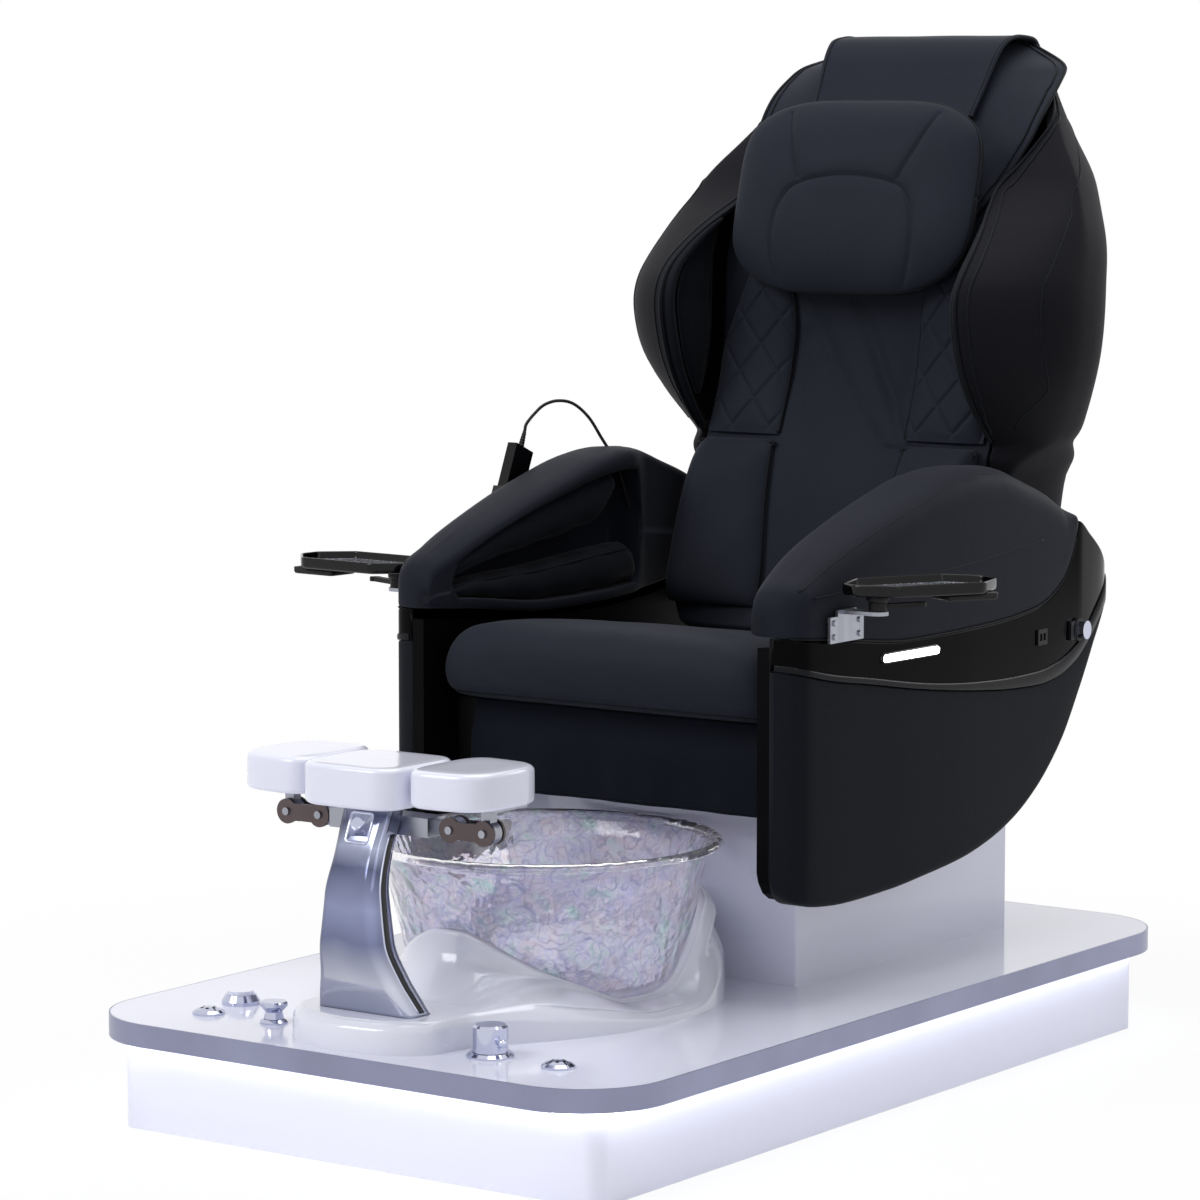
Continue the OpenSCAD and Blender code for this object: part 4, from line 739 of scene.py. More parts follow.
def build_stand():
    rings = []
    for z in np.linspace(0, 262, 60):
        ring = rounded(stand_half(z), stand_deep(z), 13.5)
        rings.append(level(STAND_Z + z, ring + [0, stand_mid(z)]))
    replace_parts(loft("stand_cover", rings, "stand", "base"), "foot_stand")
    # dark strips with a bright border along both sides
    for s in SIDES:
        for half, proud, material, tag in ((5, 1.3, "inlay", "dark"), (7.6, 0.7, "chrome", "rim")):
            section = [(-1.0, -half), (proud * 0.6, -half), (proud, -half * 0.6)]
            section += [(out, -up) for out, up in section[::-1]]
            rings = [
                [(s * (stand_half(z) + x), stand_mid(z) + 2 + y, STAND_Z + z) for x, y in section]
                for z in np.linspace(4, 226, 50)
            ]
            strip = loft(f"stand_{tag}_{word(s)}", rings, material, "base", flip=s < 0)
            if tag == "dark":
                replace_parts(strip, "stand_inlays")
    # square panel let into the top of the front
    rings = []
    for inset, push in ((0, 0.0), (1.2, 1.4), (3.4, 1.2), (4.6, -0.6), (19, -0.6)):
        u, z = (rounded(19.5 - inset, 20 - inset, max(6 - inset, 0.6), 4) + [0, 234]).T
        rings.append(np.stack([u, stand_mid(z) - stand_deep(z) - push, STAND_Z + z], -1))
    loft("stand_panel", rings, "chrome", "base")


build_stand()


def edge(low, high, r_low, r_high, inset):
    """(inset, height) pairs up a pad's two rounded edges and in over its top."""
    q = np.radians(np.arange(7) * 15)
    lower = zip(r_low * (1 - np.sin(q)), low + r_low * (1 - np.cos(q)))
    upper = zip(r_high * (1 - np.cos(q)), high - r_high * (1 - np.sin(q)))
    return [*lower, *upper, (inset, high)]


def centre_ring(inset):
    return rounded(74.6 - inset, 75 - inset, max(34 - inset * 0.6, 4), 10) + [0, -599]


def foot_ring(inset):
    """Outline of the left pad, squarer towards the middle pad."""
    t = around(96)
    half = 60.5
    x = (half - inset) * spow(np.cos(t), 2 / np.where(np.cos(t) > 0, 3, 5))
    y = (78 - 6 * ease(x, -half, half) - inset) * spow(np.sin(t), 2 / 3)
    return np.column_stack([135.5 + x, -577 + y])


def build_rest(name, ring, levels, body, node, s=1):
    rings = [level(z, ring(inset) * [s, 1]) for inset, z in levels]
    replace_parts(loft(name, rings, "white", body, flip=s < 0), node)


build_rest("middle_rest", centre_ring, edge(452.4, 505, 7, 6.5, 22), "base", "footrest_centre")
for s in SIDES:
    w = word(s)
    build_rest(f"rest_{w}", foot_ring, edge(458, 505, 6, 8, 30), f"pad_{w}", f"foot_pad_{w}", s)


# ---------------- side panels and trims
SKIN = 290.6  # outer face of the side boards
side_half = curve([
    (-157, 298), (-153, 314), (-143, 326), (-128, 333), (-100, 336), (0, 342), (120, 348),
    (260, 351), (400, 350), (500, 347), (560, 343), (600, 339), (640, 332), (665, 320),
    (682, 306), (690, 290.5),
])
panel_low = curve([
    (-157, 322), (-150, 299), (-130, 285), (-95, 278), (-40, 275), (60, 279), (136, 286),
    (239, 298), (305, 312), (372, 335), (430, 366), (500, 422), (556, 488), (606, 552),
    (640, 594), (665, 616), (690, 626),
])
trim_low = curve([
    (-157, 590), (-80, 573), (0, 561), (115, 543), (270, 525), (360, 518), (430, 516),
    (480, 521), (540, 539), (585, 566), (620, 592), (645, 610), (670, 626), (690, 632),
])
trim_high = curve([
    (-157, 634), (-80, 628), (100, 611), (290, 614), (420, 624), (500, 655), (530, 690),
    (545, 722), (552, 735), (586, 716), (630, 688), (650, 670), (665, 656), (690, 641),
])
arm_top = curve([
    (-157, 672), (-150, 690), (-138, 700), (-118, 710), (-68, 733), (29, 767), (128, 796),
    (230, 820), (290, 826), (336, 824), (417, 802), (500, 772), (545, 744),
])
arm_in = curve([
    (-157, 262), (-100, 250), (0, 240), (200, 236), (300, 246), (360, 264), (545, 272),
])
pad_front = curve([
    (562, 364), (594, 377), (620, 388), (700, 414), (780, 442), (860, 474), (940, 502),
    (1000, 512), (1080, 514), (1160, 540), (1240, 574), (1320, 618), (1360, 640), (1388, 662),
])


def side_loft(name, s, ys, section, material):
    """Piece along one side, from its (x, z) section at each y."""
    rings = [[(s * x, y, z) for x, z in section(y)] for y in map(float, ys)]
    return loft(name, rings, material, "chair", flip=s > 0)


def panel_section(y):
    x, low, high = side_half(y), panel_low(y), trim_low(y) - 0.4
    r = min(15, (high - low) / 2, x - SKIN - 0.6)
    r_high = min(3, r)
    return (
        [(SKIN, low)] + corner(x - r, low, x, low, x, low + r, 6) + [(x, (low + high) / 2)]
        + corner(x, high - r_high, x, high, x - r_high, high, 3) + [(SKIN, high)]
    )


def trim_section(y):
    x, low, high = side_half(y), trim_low(y), trim_high(y) - 0.4
    r = min(5, (high - low) / 2, x - SKIN - 0.6)
    return (
        [(SKIN, low)] + corner(x - r, low, x, low, x, low + r, 3)
        + corner(x, high - r, x, high, x - r, high, 3) + [(SKIN, high)]
    )


def lip_section(y):
    """Grey lip that stands a little proud along the trim's lower edge."""
    x, z, h = side_half(y), trim_low(y), 9 + 13 * ease(y, 120, 560)
    shape = ((-2, 0.4), (1.6, 0.6), (2.6, 2.0), (2.6, h - 2), (1.4, h), (-2, h))
    return [(x + dx, z + dz) for dx, dz in shape]


def build_side(s):
    w = word(s)
    ys = steps((-157, -120, 16), (-120, 560, 90), (560, 690, 40))
    obj = side_loft(f"panel_{w}", s, ys[ys <= 668], panel_section, "panel")
    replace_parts(obj, "side_panels")
    obj = side_loft(f"trim_{w}", s, ys, trim_section, "trim")
    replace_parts(obj, "side_trims")
    side_loft(f"trim_lip_{w}", s, ys[ys <= 676], lip_section, "lip")
    # seam line between trim and armrest
    y = np.linspace(-150, 540, 120)
    line = np.column_stack([s * (side_half(y) - 0.6), y, trim_high(y) - 0.2])
    tube(f"arm_seam_{w}", line, 1.3, "chair", 6)


# ---------------- armrests
def arm_sizes(y, gap=0.1):
    """Outer face, lower edge, top, inner face and edge radius at y."""
    x, low, inner = side_half(y), trim_high(y) + gap, arm_in(y)
    top = max(low + 5, arm_top(y))
    return x, low, top, inner, max(2.0, min(46, (top - low) / 2, x - inner - 2))


def arm_section(y):
    """From the lower inner edge round the outside to the top, then down the inner side."""
    x, low, top, xi, r = arm_sizes(y)
    roll = xi + r * 0.75
    out = [(284, low + 0.6), (x - 4, low + 0.6)]
    out += corner(x - 2.5, low + 0.8, x - 0.3, low + 1.5, x, low + 6, 3)
    out += [(x, low + 6 + (top - r - low - 6) * k) for k in (0.33, 0.66)]
    out += corner(x, top - r, x - 0.5, top - 0.5, x - r, top, 9)
    out += [(roll + (x - r - roll) * k, top + 0.5 * math.sin(math.pi * k)) for k in (0.66, 0.33)]
    # the roll over the forearm channel's upper edge, then the channel, then its lower edge
    under = top - min(r, 16)
    out += corner(roll, top, xi + 0.4, top - 0.5, xi, under, 6)
    e = ease(y, -118, -104) * (1 - ease(y, 322, 345))  # 0 where the channel is closed
    if e > 0:
        ends = np.array([top - 18 - 0.04 * abs(y), low + 16])
        high, deep = ends.mean() + (ends - ends.mean()) * (0.2 + 0.8 * e)
    else:
        mid = (top - r + low + 6) / 2
        high, deep = mid + 1, mid - 1
    run = (308 - xi) * e
    out += corner(xi, under - 1, xi, high, xi + 4 * e + 0.01, high - 0.2, 3)
    out += [(xi + run * k + 4 * e * (1 - k), high) for k in (0.5, 1.0)]
    out += [(xi + run, deep), (xi + run * 0.5, deep)]
    out += corner(xi + 4 * e + 0.01, deep + 0.2, xi, deep, xi + 0.2, deep - 3, 3)
    return out + corner(xi + 0.4, low + 6, xi + 1, low + 2, xi + 8, low + 1.2, 3)


def build_arm(s):
    w = word(s)
    ys = steps((-157, -116, 12), (-116, 345, 80), (345, 545, 40))
    obj = side_loft(f"armrest_{w}", s, ys, arm_section, "arm")
    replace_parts(obj, "armrests")
    # welt that runs along the outer top edge
    line = []
    for y in np.linspace(-135, 520, 140):
        x, _, top, _, r = arm_sizes(y, 0)
        line.append((s * (x - 0.30 * r), y, top - 0.27 * r))
    tube(f"arm_welt_{w}", line, 2.2, "chair")
    # sewn line along the outer face
    y = np.linspace(-120, 440, 90)
    z = np.interp(y, [-120, -36, 112, 266, 440], [684, 689, 693, 702, 717])
    tube(f"arm_stitch_{w}", np.column_stack([s * (side_half(y) - 0.5), y, z]), 1.0, "chair", 6)


BAG_X = 303  # rear of the air cushions in the armrests
BAGS = [  # tag, up or down, last rings, end, where and how much it narrows, height, phase
    ("low", 1, (320, 326, 329.5), 330, (290, 340), 0.5, 0.36, 0),
    ("high", -1, (250, 258, 262), 262.5, (200, 275), 0.7, 0.42, 2),
]


def build_bags(s):
    """Two air cushions that meet along the forearm's slit, each with a welt round its lip."""
    w, t = word(s), around(28)
    for tag, up, last, end, span, narrow, height, phase in BAGS:
        rings, welt = [], []
        for y in steps((-117, -116, 2), (-114, last[0], 60), (last[1], last[2], 2)):
            low = trim_high(y) + 16.5
            top = arm_top(y) - 18.5 - 0.04 * abs(y)
            a = height * (top - low) / 2 * (1 - ease(y, *span) * narrow)
            z = low + a if up > 0 else top - a
            tip = min(1, (y + 118) / 12) ** 0.5 * max(0.02, min(1, (end - y) / 12)) ** 0.5
            inner = arm_in(y) + 4 + 12 * (1 - ease(y, -157, -80))
            ax, az = (BAG_X - inner) / 2 * (0.55 + 0.45 * tip), a * (0.35 + 0.65 * tip)
            x = BAG_X - ax + ax * spow(np.cos(t), 2 / 2.6)
            wave = 1.4 * math.sin(y * 0.07 + phase) * (np.cos(t) < 0) * tip
            rim = z + az * spow(np.sin(t), 2 / 2.3) + wave
            rings.append(np.column_stack([s * x, np.full(len(t), y), rim]))
            welt.append((s * (BAG_X - ax * 1.8), y, z + up * az * 0.72))
        obj = loft(f"air_bag_{tag}_{w}", rings, "lining", "chair", flip=s > 0)
        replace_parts(obj, "arm_airbags")
        tube(f"bag_welt_{tag}_{w}", welt[2:-2], 1.6, "chair", 6)


for build in (build_side, build_arm, build_bags):
    for s in SIDES:
        build(s)


# ---------------- seat cushion and skirt
SEAT_HALF, SEAT_LOW, NOSE = 262, 508.5, 46  # half width, underside, radius of the front roll
SEAM_ANGLE = 236  # where the seam pulls the front roll in, a little above its lower edge
seat_line = curve([(-146, 0), (-110, 1), (-60, 2), (40, -8), (200, -30), (280, -42), (340, -50)])


def seat_slice(x):
    """Fall at the sides from 0 to 1, front edge, and top as a function of y."""
    u = abs(x) / SEAT_HALF
    fall = 1 - max(0.0, 1 - u**9) ** 0.5

    def top(y):
        return 612 + seat_line(y) + 8 * (1 - u * u) - 36 * fall

    return fall, -146 + 30 * fall, top


def nose_point(x, degrees, pull):
    """Place (y, z) at an angle round the front roll."""
    _, front, top = seat_slice(x)
    low, high, a = SEAT_LOW + 4, top(front + NOSE), math.radians(degrees)
    return (
        front + NOSE + (NOSE - pull) * math.cos(a),
        (low + high) / 2 + (high - low) / 2 * math.sin(a),
    )


def build_seat():
    ends = 22 * (1 - np.cos(np.linspace(0, math.pi / 2, 9)))
    middle = np.linspace(-236, 236, 60)
    xs = np.concatenate([ends - SEAT_HALF, middle, SEAT_HALF - ends[::-1]])
    rings = []
    for x in xs:
        fall, front, top = seat_slice(x)
        rear = 340 - 16 * fall
        # a low tail runs on under the back pad's lower end
        low, tail, high = SEAT_LOW, rear + 54, min(559.5, top(rear) - 5)
        ring = [
            (tail - 10, low), (tail - 2, low + 5), (tail, low + 14), (tail, high - 9),
            (tail - 4, high - 1.5), (tail - 14, high), (rear + 3, high), (rear, high + 2),
            (rear - 4, top(rear) - 4), (rear - 14, top(rear)),
        ]
        ring += [(y, top(y)) for y in np.linspace(rear - 30, front + NOSE + 8, 22)]
        for q in np.linspace(90, 268, 22):
            ring.append(nose_point(x, q, 5.0 * math.exp(-(((q - SEAM_ANGLE) / 7) ** 2))))
        ring.append((front + NOSE + 30, low))
        rings.append([(x, y, z) for y, z in ring])
    rings = np.array(rings)
    x, y, z = np.moveaxis(rings, -1, 0)
    z += 0.8 * np.sin(x * 0.031 + 1) * np.sin(y * 0.04) * (z > 560)
    obj = loft("seat_pad", rings, "leather", "chair", flip=True)
    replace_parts(obj, "seat_cushion")
    line = [(x, *nose_point(x, SEAM_ANGLE, 4.5)) for x in np.linspace(-252, 252, 90)]
    tube("seat_seam", line, 1.4, "chair", 6)


build_seat()


def build_skirt():
    xs = np.linspace(-238, 238, 160)
    top, hem_z = 507.6, 392

    def y_at(x, z):
        drop = top - z
        wave = 2.5 * ease(drop, 0, 90) * np.sin(2 * math.pi * 3 * (x + 238) / 476)
        fine = 0.7 * ease(drop, 10, 120) * np.sin(x * 0.11 + z * 0.01)
        return -83.4 - 12 * ease(drop, 0, 60) + wave + fine

    front = [level(z, xs, y_at(xs, z) + 0.3) for z in steps((387.0, 388.5, 2), (hem_z, top, 34))]
    obj = solid_sheet("front_cloth", front, np.array(front) + [0, 1.6, 0], "cloth", "chair")
    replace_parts(obj, "front_skirt")
    x = xs[1:-1]
    hem = tube("front_hem", level(hem_z, x, y_at(x, hem_z) - 0.4), 0.7, "chair", 5)


build_skirt()

# ---------------- back shell
WALL = 18.0  # thickness of the shell's padded wall
SHELL = [  # height, middle, half width, depth to the rear, depth of the wings
    (590, 470, 261, 222, 8), (700, 480, None, 235, None), (800, 500, 261, 245, 20),
    (838, 575, 296, 165, 170), (870, 566, 314, 160, 190), (913, 540, 342, 165, 185),
    (981, 520, 366, 175, 190), (1039, 515, 370, 185, 195), (1080, 529, 364, 180, 192),
    (1115, 548, 357, 170, 155), (1157, 560, 342, 167, 91), (1175, None, None, None, 56),
    (1190, 575, 324, 172, 30), (1222, 592, 308, 158, 22), (1266, 622, 266, 136, 20),
    (1294, 640, 251, 106, 20), (1320, 665, 228, 74, 20), (1342, 682, 214, 62, 20),
    (1377, 710, 184, 42, 20), (1394, 717, 152, 34, 18), (1402, 720, 128, 24, 12),
]
shell_mid, shell_half, shell_rear, shell_wing = (
    softened(line, SHELL[0][0], SHELL[-1][0]) for line in curves(SHELL)
)
mouth_half = curve([  # half width of the shell's opening
    (590, 230), (610, 246), (1085, 246), (1115, 240), (1157, 222), (1175, 210), (1192, 202),
    (1212, 212), (1240, 226), (1278, 242), (1320, 248), (1402, 248),
])
# the raised lobe at the pad's top: half width, and the depth its rolled sides turn back to
lobe_half = curve([
    (1140, 168), (1150, 172), (1170, 185), (1212, 206), (1240, 219), (1278, 233), (1320, 236),
    (1363, 227), (1388, 174), (1402, 140),
])
lobe_edge = curve([
    (1140, 536), (1170, 545), (1212, 574), (1278, 606), (1320, 642), (1363, 700), (1388, 742),
    (1402, 750),
])


def mouth(z):
    return min(mouth_half(z), shell_half(z) - 0.5)


def rear_power(z):
    """Exponent of the rear's outline: boxy at the foot, rounder from the wings up."""
    return 5 + (2.7 - 5) * ease(z, 800, 842)


def shell_arc(z, inset, n, cut):
    """Points of the shell's section from the right lip round the rear to the left lip."""
    half, mid = shell_half(z) - inset, shell_mid(z)
    rear, wing = max(1, shell_rear(z) - inset), max(1, shell_wing(z) - inset)
    wing_power = 5 + (2.1 - 5) * ease(z, 800, 842)
    th = math.acos(min(1.0, cut / half) ** (wing_power / 2))
    t = np.linspace(-th, math.pi + th, n)
    e = np.where(np.sin(t) > 0, rear_power(z), wing_power)
    deep = np.where(np.sin(t) > 0, rear, wing)
    return np.stack([half * spow(np.cos(t), 2 / e), mid + deep * spow(np.sin(t), 2 / e)], -1)


def turned_in(arc, z):
    """Behind the lobe the shell's lips turn in to a flat rear piece."""
    arc[:, 1] += ease(z, 1240, 1290) * np.maximum(lobe_edge(z) + 4 - arc[:, 1], 0)
    return arc


def bead(a, b, side):
    """Points over a rounded lip, from one end of the skin to the other."""
    mid = (a + b) / 2 + [-side * 3.5, -3.0]
    return [(1 - t) ** 2 * a + 2 * t * (1 - t) * mid + t * t * b for t in (0.2, 0.4, 0.6, 0.8)]


def build_shell():
    rings, lips = [], {1: [], -1: []}
    for z in steps((590, 800, 16), (800, 850, 16), (850, 1386, 110), (1388, 1397, 4)):
        cut = mouth(z)
        o = turned_in(shell_arc(z, 0, 150, cut), z)
        i = turned_in(shell_arc(z, WALL, 110, min(cut, shell_half(z) - WALL - 1)), z)
        ring = np.vstack([o, bead(o[-1], i[-1], -1), i[::-1], bead(i[0], o[0], 1)])
        rings.append(level(z, ring))
        if 846 <= z <= 1372:
            lips[1].append((*o[0], z))
            lips[-1].append((*o[-1], z))
    # leather over foam: faint unevenness on the outer skin
    rings = np.array(rings)
    x, y, z = np.moveaxis(rings, -1, 0)
    x += 0.9 * np.sin(z * 0.021 + 1.0) * np.sin(y * 0.02) * np.sign(x)
    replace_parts(loft("back_cover", rings, "shell", "back"), "back_shell")
    for s in SIDES:
        build_lip(s, spline(lips[s][::6], 6))
    # seams down the rear
    for tag, place in zip("lmr", (-120, 0, 120)):
        line = []
        for z in np.linspace(610, 1392, 90):
            half, e = shell_half(z), rear_power(z)
            x = place * half / 370
            bulge = max(0.0, 1 - abs(x / half) ** e) ** (1 / e)
            line.append((x, shell_mid(z) + shell_rear(z) * bulge - 0.3, z))
        tube(f"rear_seam_{tag}", line, 1.3, "back", 6)


def build_lip(s, lip):
    w = word(s)
    tube(f"wing_piping_a_{w}", lip + [0, -0.6, 0], 2.6, "back")
    # soft roll just inside the lip, thickest half-way up
    low = lip[(lip[:, 2] > 850) & (lip[:, 2] < 1150)]
    fat = 2.0 + 7.0 * np.sin(np.pi * (low[:, 2] - 850) / 300) ** 0.6
    roll = low + np.column_stack([np.full(len(low), -s * 5.0), 4.0 + fat, 0 * fat])
    tube(f"wing_roll_{w}", roll, fat, "back", 14, "lining")
    # second piping and sewn seam a little behind the first, on the outer skin
    for back_off, r, tag in ((15, 2.0, "b"), (118, 1.1, "c")):
        line = []
        for z in np.linspace(858, 1360, 90):
            arc = shell_arc(z, 0, 400, mouth(z))[::s]
            low_share = 0.35 + 0.65 * ease(z, 858, 930)
            high_share = 0.45 + 0.55 * (1 - ease(z, 1180, 1330))
            at = np.searchsorted(along(arc), back_off * low_share * high_share)
            line.append((*arc[at], z))
        tube(f"wing_piping_{tag}_{w}", line, r, "back", 6)


build_shell()


def build_wing_pads(s):
    """Shoulder air cushion inside the shell's wing: two chambers with a welt round them."""
    w, t, middle = word(s), around(40), 258
    rings, front_line, rear_line = [], [], []
    for v in bunched(60):
        z = 894 + 284 * v
        swell = max(0.05, math.sin(math.pi * v)) ** 0.4
        half, deep = shell_half(z) - WALL, shell_wing(z) - WALL
        lip = deep * max(0.0, 1 - min(1, 271 / half) ** 2.1) ** (1 / 2.1)
        front = shell_mid(z) - lip + 6
        rear = max(front + 14, pad_front(z) - 6)
        ax, ay = 13 * swell, (rear - front) / 2
        waist = 1 - 0.28 * math.exp(-(((v - 0.5) / 0.05) ** 2))
        x = middle + ax * waist * spow(np.cos(t), 2 / 2.4)
        rings.append(level(z, s * x, (front + rear) / 2 + ay * spow(np.sin(t), 2 / 2.8)))
        front_line.append((s * (middle - ax * 0.75), front + ay * 0.14, z))
        rear_line.append((s * (middle - ax * 0.75), rear - ay * 0.14, z))
    obj = loft(f"wing_bag_{w}", rings, "lining", "back", flip=s < 0)
    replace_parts(obj, "wing_pads")
    loop = front_line[3:-3] + rear_line[-4:2:-1]
    tube(f"wing_bag_welt_{w}", loop + loop[:1], 1.6, "back", 6)


for s in SIDES:
    build_wing_pads(s)


# ---------------- back pad and the lobe at its top
pad_half = curve([
    (562, 212), (576, 222), (610, 238), (1160, 238), (1190, 194), (1212, 205), (1240, 218),
    (1278, 232), (1320, 236), (1363, 227), (1388, 168),
])
lobe_middle = curve([
    (1140, 531), (1170, 535), (1190, 540), (1212, 549), (1240, 565), (1278, 593), (1320, 616),
    (1363, 640), (1380, 652), (1388, 659), (1395, 668), (1400, 680), (1403, 696), (1404.5, 712),
])
FOLDS = [  # line (x, z), depth and width of each fold in the leather
    ([(-11, 1040), (6, 1003), (21, 972), (45, 930), (68, 896), (88, 862), (105, 833)], 4.2, 8.0),
    ([(-96, 1040), (-72, 995), (-44, 949), (-8, 905), (25, 867), (52, 838)], 2.6, 12.0),
    ([(92, 1050), (78, 1000), (70, 950), (78, 900)], 1.8, 14.0),
    ([(-88, 980), (-92, 920), (-84, 860)], 2.0, 13.0),
    ([(70, 829), (100, 826), (138, 828)], 2.4, 6.0),
    ([(-60, 1160), (0, 1150), (60, 1160)], 1.5, 16.0),
]


def build_back_pad():
    us = spow(np.sin(np.linspace(-math.pi / 2, math.pi / 2, 121)), 0.9)
    a = np.abs(us)
    front, rear = [], []
    for z in steps((562.5, 576, 6), (576, 1215, 170)):
        low, middle = ease(576 - z, 0, 14), pad_front(z)
        x = (pad_half(z) - 4 * low) * us
        y = middle + 12 * a**6 + 4 * (1 - ease(np.abs(x), 60, 100)) + 12 * low**2
        for line, depth, width in FOLDS:
            y = y + 1.7 * depth * groove(near(level(z, x), line), width)
        y = y + 0.8 * np.sin(x * 0.035 + z * 0.013) + 5.0 * groove(z - 985.0, 60.0) * (1 - a**2)
        front.append(level(z, x, y))
        rear.append(level(z, x * 0.985, np.maximum(y + 1.0, middle + 40 - 12 * low)))
    obj = solid_sheet("backrest_pad", front, rear, "leather", "back")
    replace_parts(obj, "back_pad")


def build_lobe():
    """Raised cushion over the pad's top, with rolled sides and a doubled piping."""
    us = np.sin(np.linspace(-math.pi / 2, math.pi / 2, 141))
    a = np.abs(us)
    zs = steps(
        (1140, 1376, 110), (1380, 1392, 4), (1395, 1400, 3), (1402, 1404, 3), (1404.5, 1404.5, 1),
    )
    front, rear = [], []
    for z in zs:
        side, middle = lobe_edge(z), lobe_middle(z)
        p = 5.0 - 2.0 * ease(z, 1180, 1300)
        x = lobe_half(z) * us
        y = middle + (side - middle) * a**p + 1.2 * np.sin(x * 0.03 + 1) * (1 - a**4)
        back = max(side + 7, middle + (8 if z > 1240 else 16))
        front.append(level(z, x, y))
        rear.append(level(z, x * 0.985, np.maximum(y + 1, back)))
    obj = solid_sheet("crown_lobe", front, rear, "leather", "back")
    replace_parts(obj, "back_pad")
    for s in SIDES:
        for tag, off, r in (("a", 0.0, 2.6), ("b", 11.0, 1.8)):
            rows = [row[::-s] for row in front[2:-2:2]]
            line = [row[np.searchsorted(along(row), off)] + [0, -0.8, 0] for row in rows]
            tube(f"lobe_piping_{tag}_{word(s)}", spline(line[::2], 4), r, "back", 6)


build_back_pad()
build_lobe()


# ---------------- cushions on the back pad
def on_pad(name, rows, zs, gap, s):
    """Cushion from rows of front points; its rear lies a gap behind the pad's front."""
    rear = rows.copy()
    rear[:, :, 1] = (pad_front(zs) + gap)[:, None]
    return solid_sheet(name, rows, rear, "leather", "back", flip=s < 0)


def rim_loop(rows, skip, off):
    """Line just inside the rim of rows of points, up one side and down the other."""
    loop = np.vstack([rows[skip:-skip, 3], rows[-skip - 1:skip - 1:-1, -4]])
    return loop + [0, -off, 0]


def build_bolster(s):
    """Quilted side bolster: sewn diamonds over a crowned form."""
    w = word(s)
    low, tall, pitch = 842, 286, 62
    us = bunched(96)
    zs = np.unique(np.concatenate([low + tall * bunched(30), np.linspace(850, 1120, 200)]))
    side = np.maximum(0, 1 - np.abs(2 * us - 1) ** 5) ** 0.55
    rows = []
    for z in zs:
        v = (z - low) / tall
        x0 = 106 + 20 * ease(v, 0.55, 1)
        x = x0 + (232 - 55 * ease(v, 0.35, 1) - x0) * us
        crown = 25 * max(0.0, math.sin(math.pi * (0.03 + 0.94 * v))) ** 0.5
        # a tight valley along each sewing line, a swell between
        a, b = (np.abs(np.mod((x + k * z) / pitch, 1) - 0.5) * 2 for k in (0.8, -0.8))
        d = np.minimum(1 - a, 1 - b) * pitch / 2 * 0.78
        swell = 1 - np.exp(-((d / 2.6) ** 1.3))
        fade = side * ease(v, 0.0, 0.06) * (1 - ease(v, 0.94, 1))
        y = pad_front(z) + 11 * us**4 - 1 - crown * (0.5 + 0.5 * us) * side
        rows.append(level(z, s * x, y + (1.9 * (1 - swell) - 1.2 * swell) * fade))
    rows = np.array(rows)
    obj = on_pad(f"quilted_bolster_{w}", rows, zs, 3, s)
    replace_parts(obj, "side_bolsters")
    loop = rim_loop(rows, 2, 0.5)
    tube(f"bolster_welt_{w}", spline(np.vstack([loop[::4], loop[:1]]), 4), 2.0, "back", 6)


def build_lumbar(s):
    """Smooth lumbar cushion, thicker towards its outer side."""
    w = word(s)
    vs, us = bunched(64), bunched(50)
    zs = 600 + 234 * vs
    side = np.maximum(0, 1 - np.abs(2 * us - 1) ** 6) ** 0.5
    rows = []
    for v, z in zip(vs, zs):
        x0, x1 = 84 + 24 * ease(v, 0, 1), 238 - 6 * ease(v, 0.4, 1)
        half = (x1 - x0) / 2 * (1 - 0.09 * abs(2 * v - 1) ** 9)
        x = (x0 + x1) / 2 + half * (2 * us - 1)
        crown = max(0.0, 1 - abs(2 * v - 1) ** 6) ** 0.5
        swell = (0.7 * np.sin(z * 0.05 + us * 5) - (16 + 34 * us)) * side * crown
        rows.append(level(z, s * x, pad_front(z) - 2.4 + swell))
    rows = np.array(rows)
    obj = on_pad(f"lumbar_cushion_{w}", rows, zs, -0.4, s)
    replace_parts(obj, "lumbar_pads")
    loop = rim_loop(rows, 4, 0.6)
    tube(f"lumbar_welt_{w}", spline(np.vstack([loop, loop[:1]])[::3], 4), 2.0, "back", 6)


for build in (build_bolster, build_lumbar):
    for s in SIDES:
        build(s)


# ---------------- head pillow
PILLOW_HALF, PILLOW_TALL = 199, 141  # half width and half height
on_pillow = leaning((0, 533.0, 1176.0), 15.0)


def pillow_outline(n):
    """Outline of the pillow at n places evenly spaced round it, across and up."""
    t = np.linspace(0, 2 * math.pi, 4001)
    w = PILLOW_HALF - 16 * ease(-np.sin(t), 0.2, 1) - 12 * ease(np.sin(t), 0.4, 1)
    x, z = w * spow(np.cos(t), 2 / 3.9), PILLOW_TALL * spow(np.sin(t), 2 / 3.9)
    run = along(np.stack([x, z], -1))
    at = np.arange(n) * run[-1] / n
    return np.interp(at, run, x), np.interp(at, run, z)


def sag(x):
    """How far the pillow's outer parts come forward, following the head."""
    return 8 * (np.abs(x) / 200) ** 2


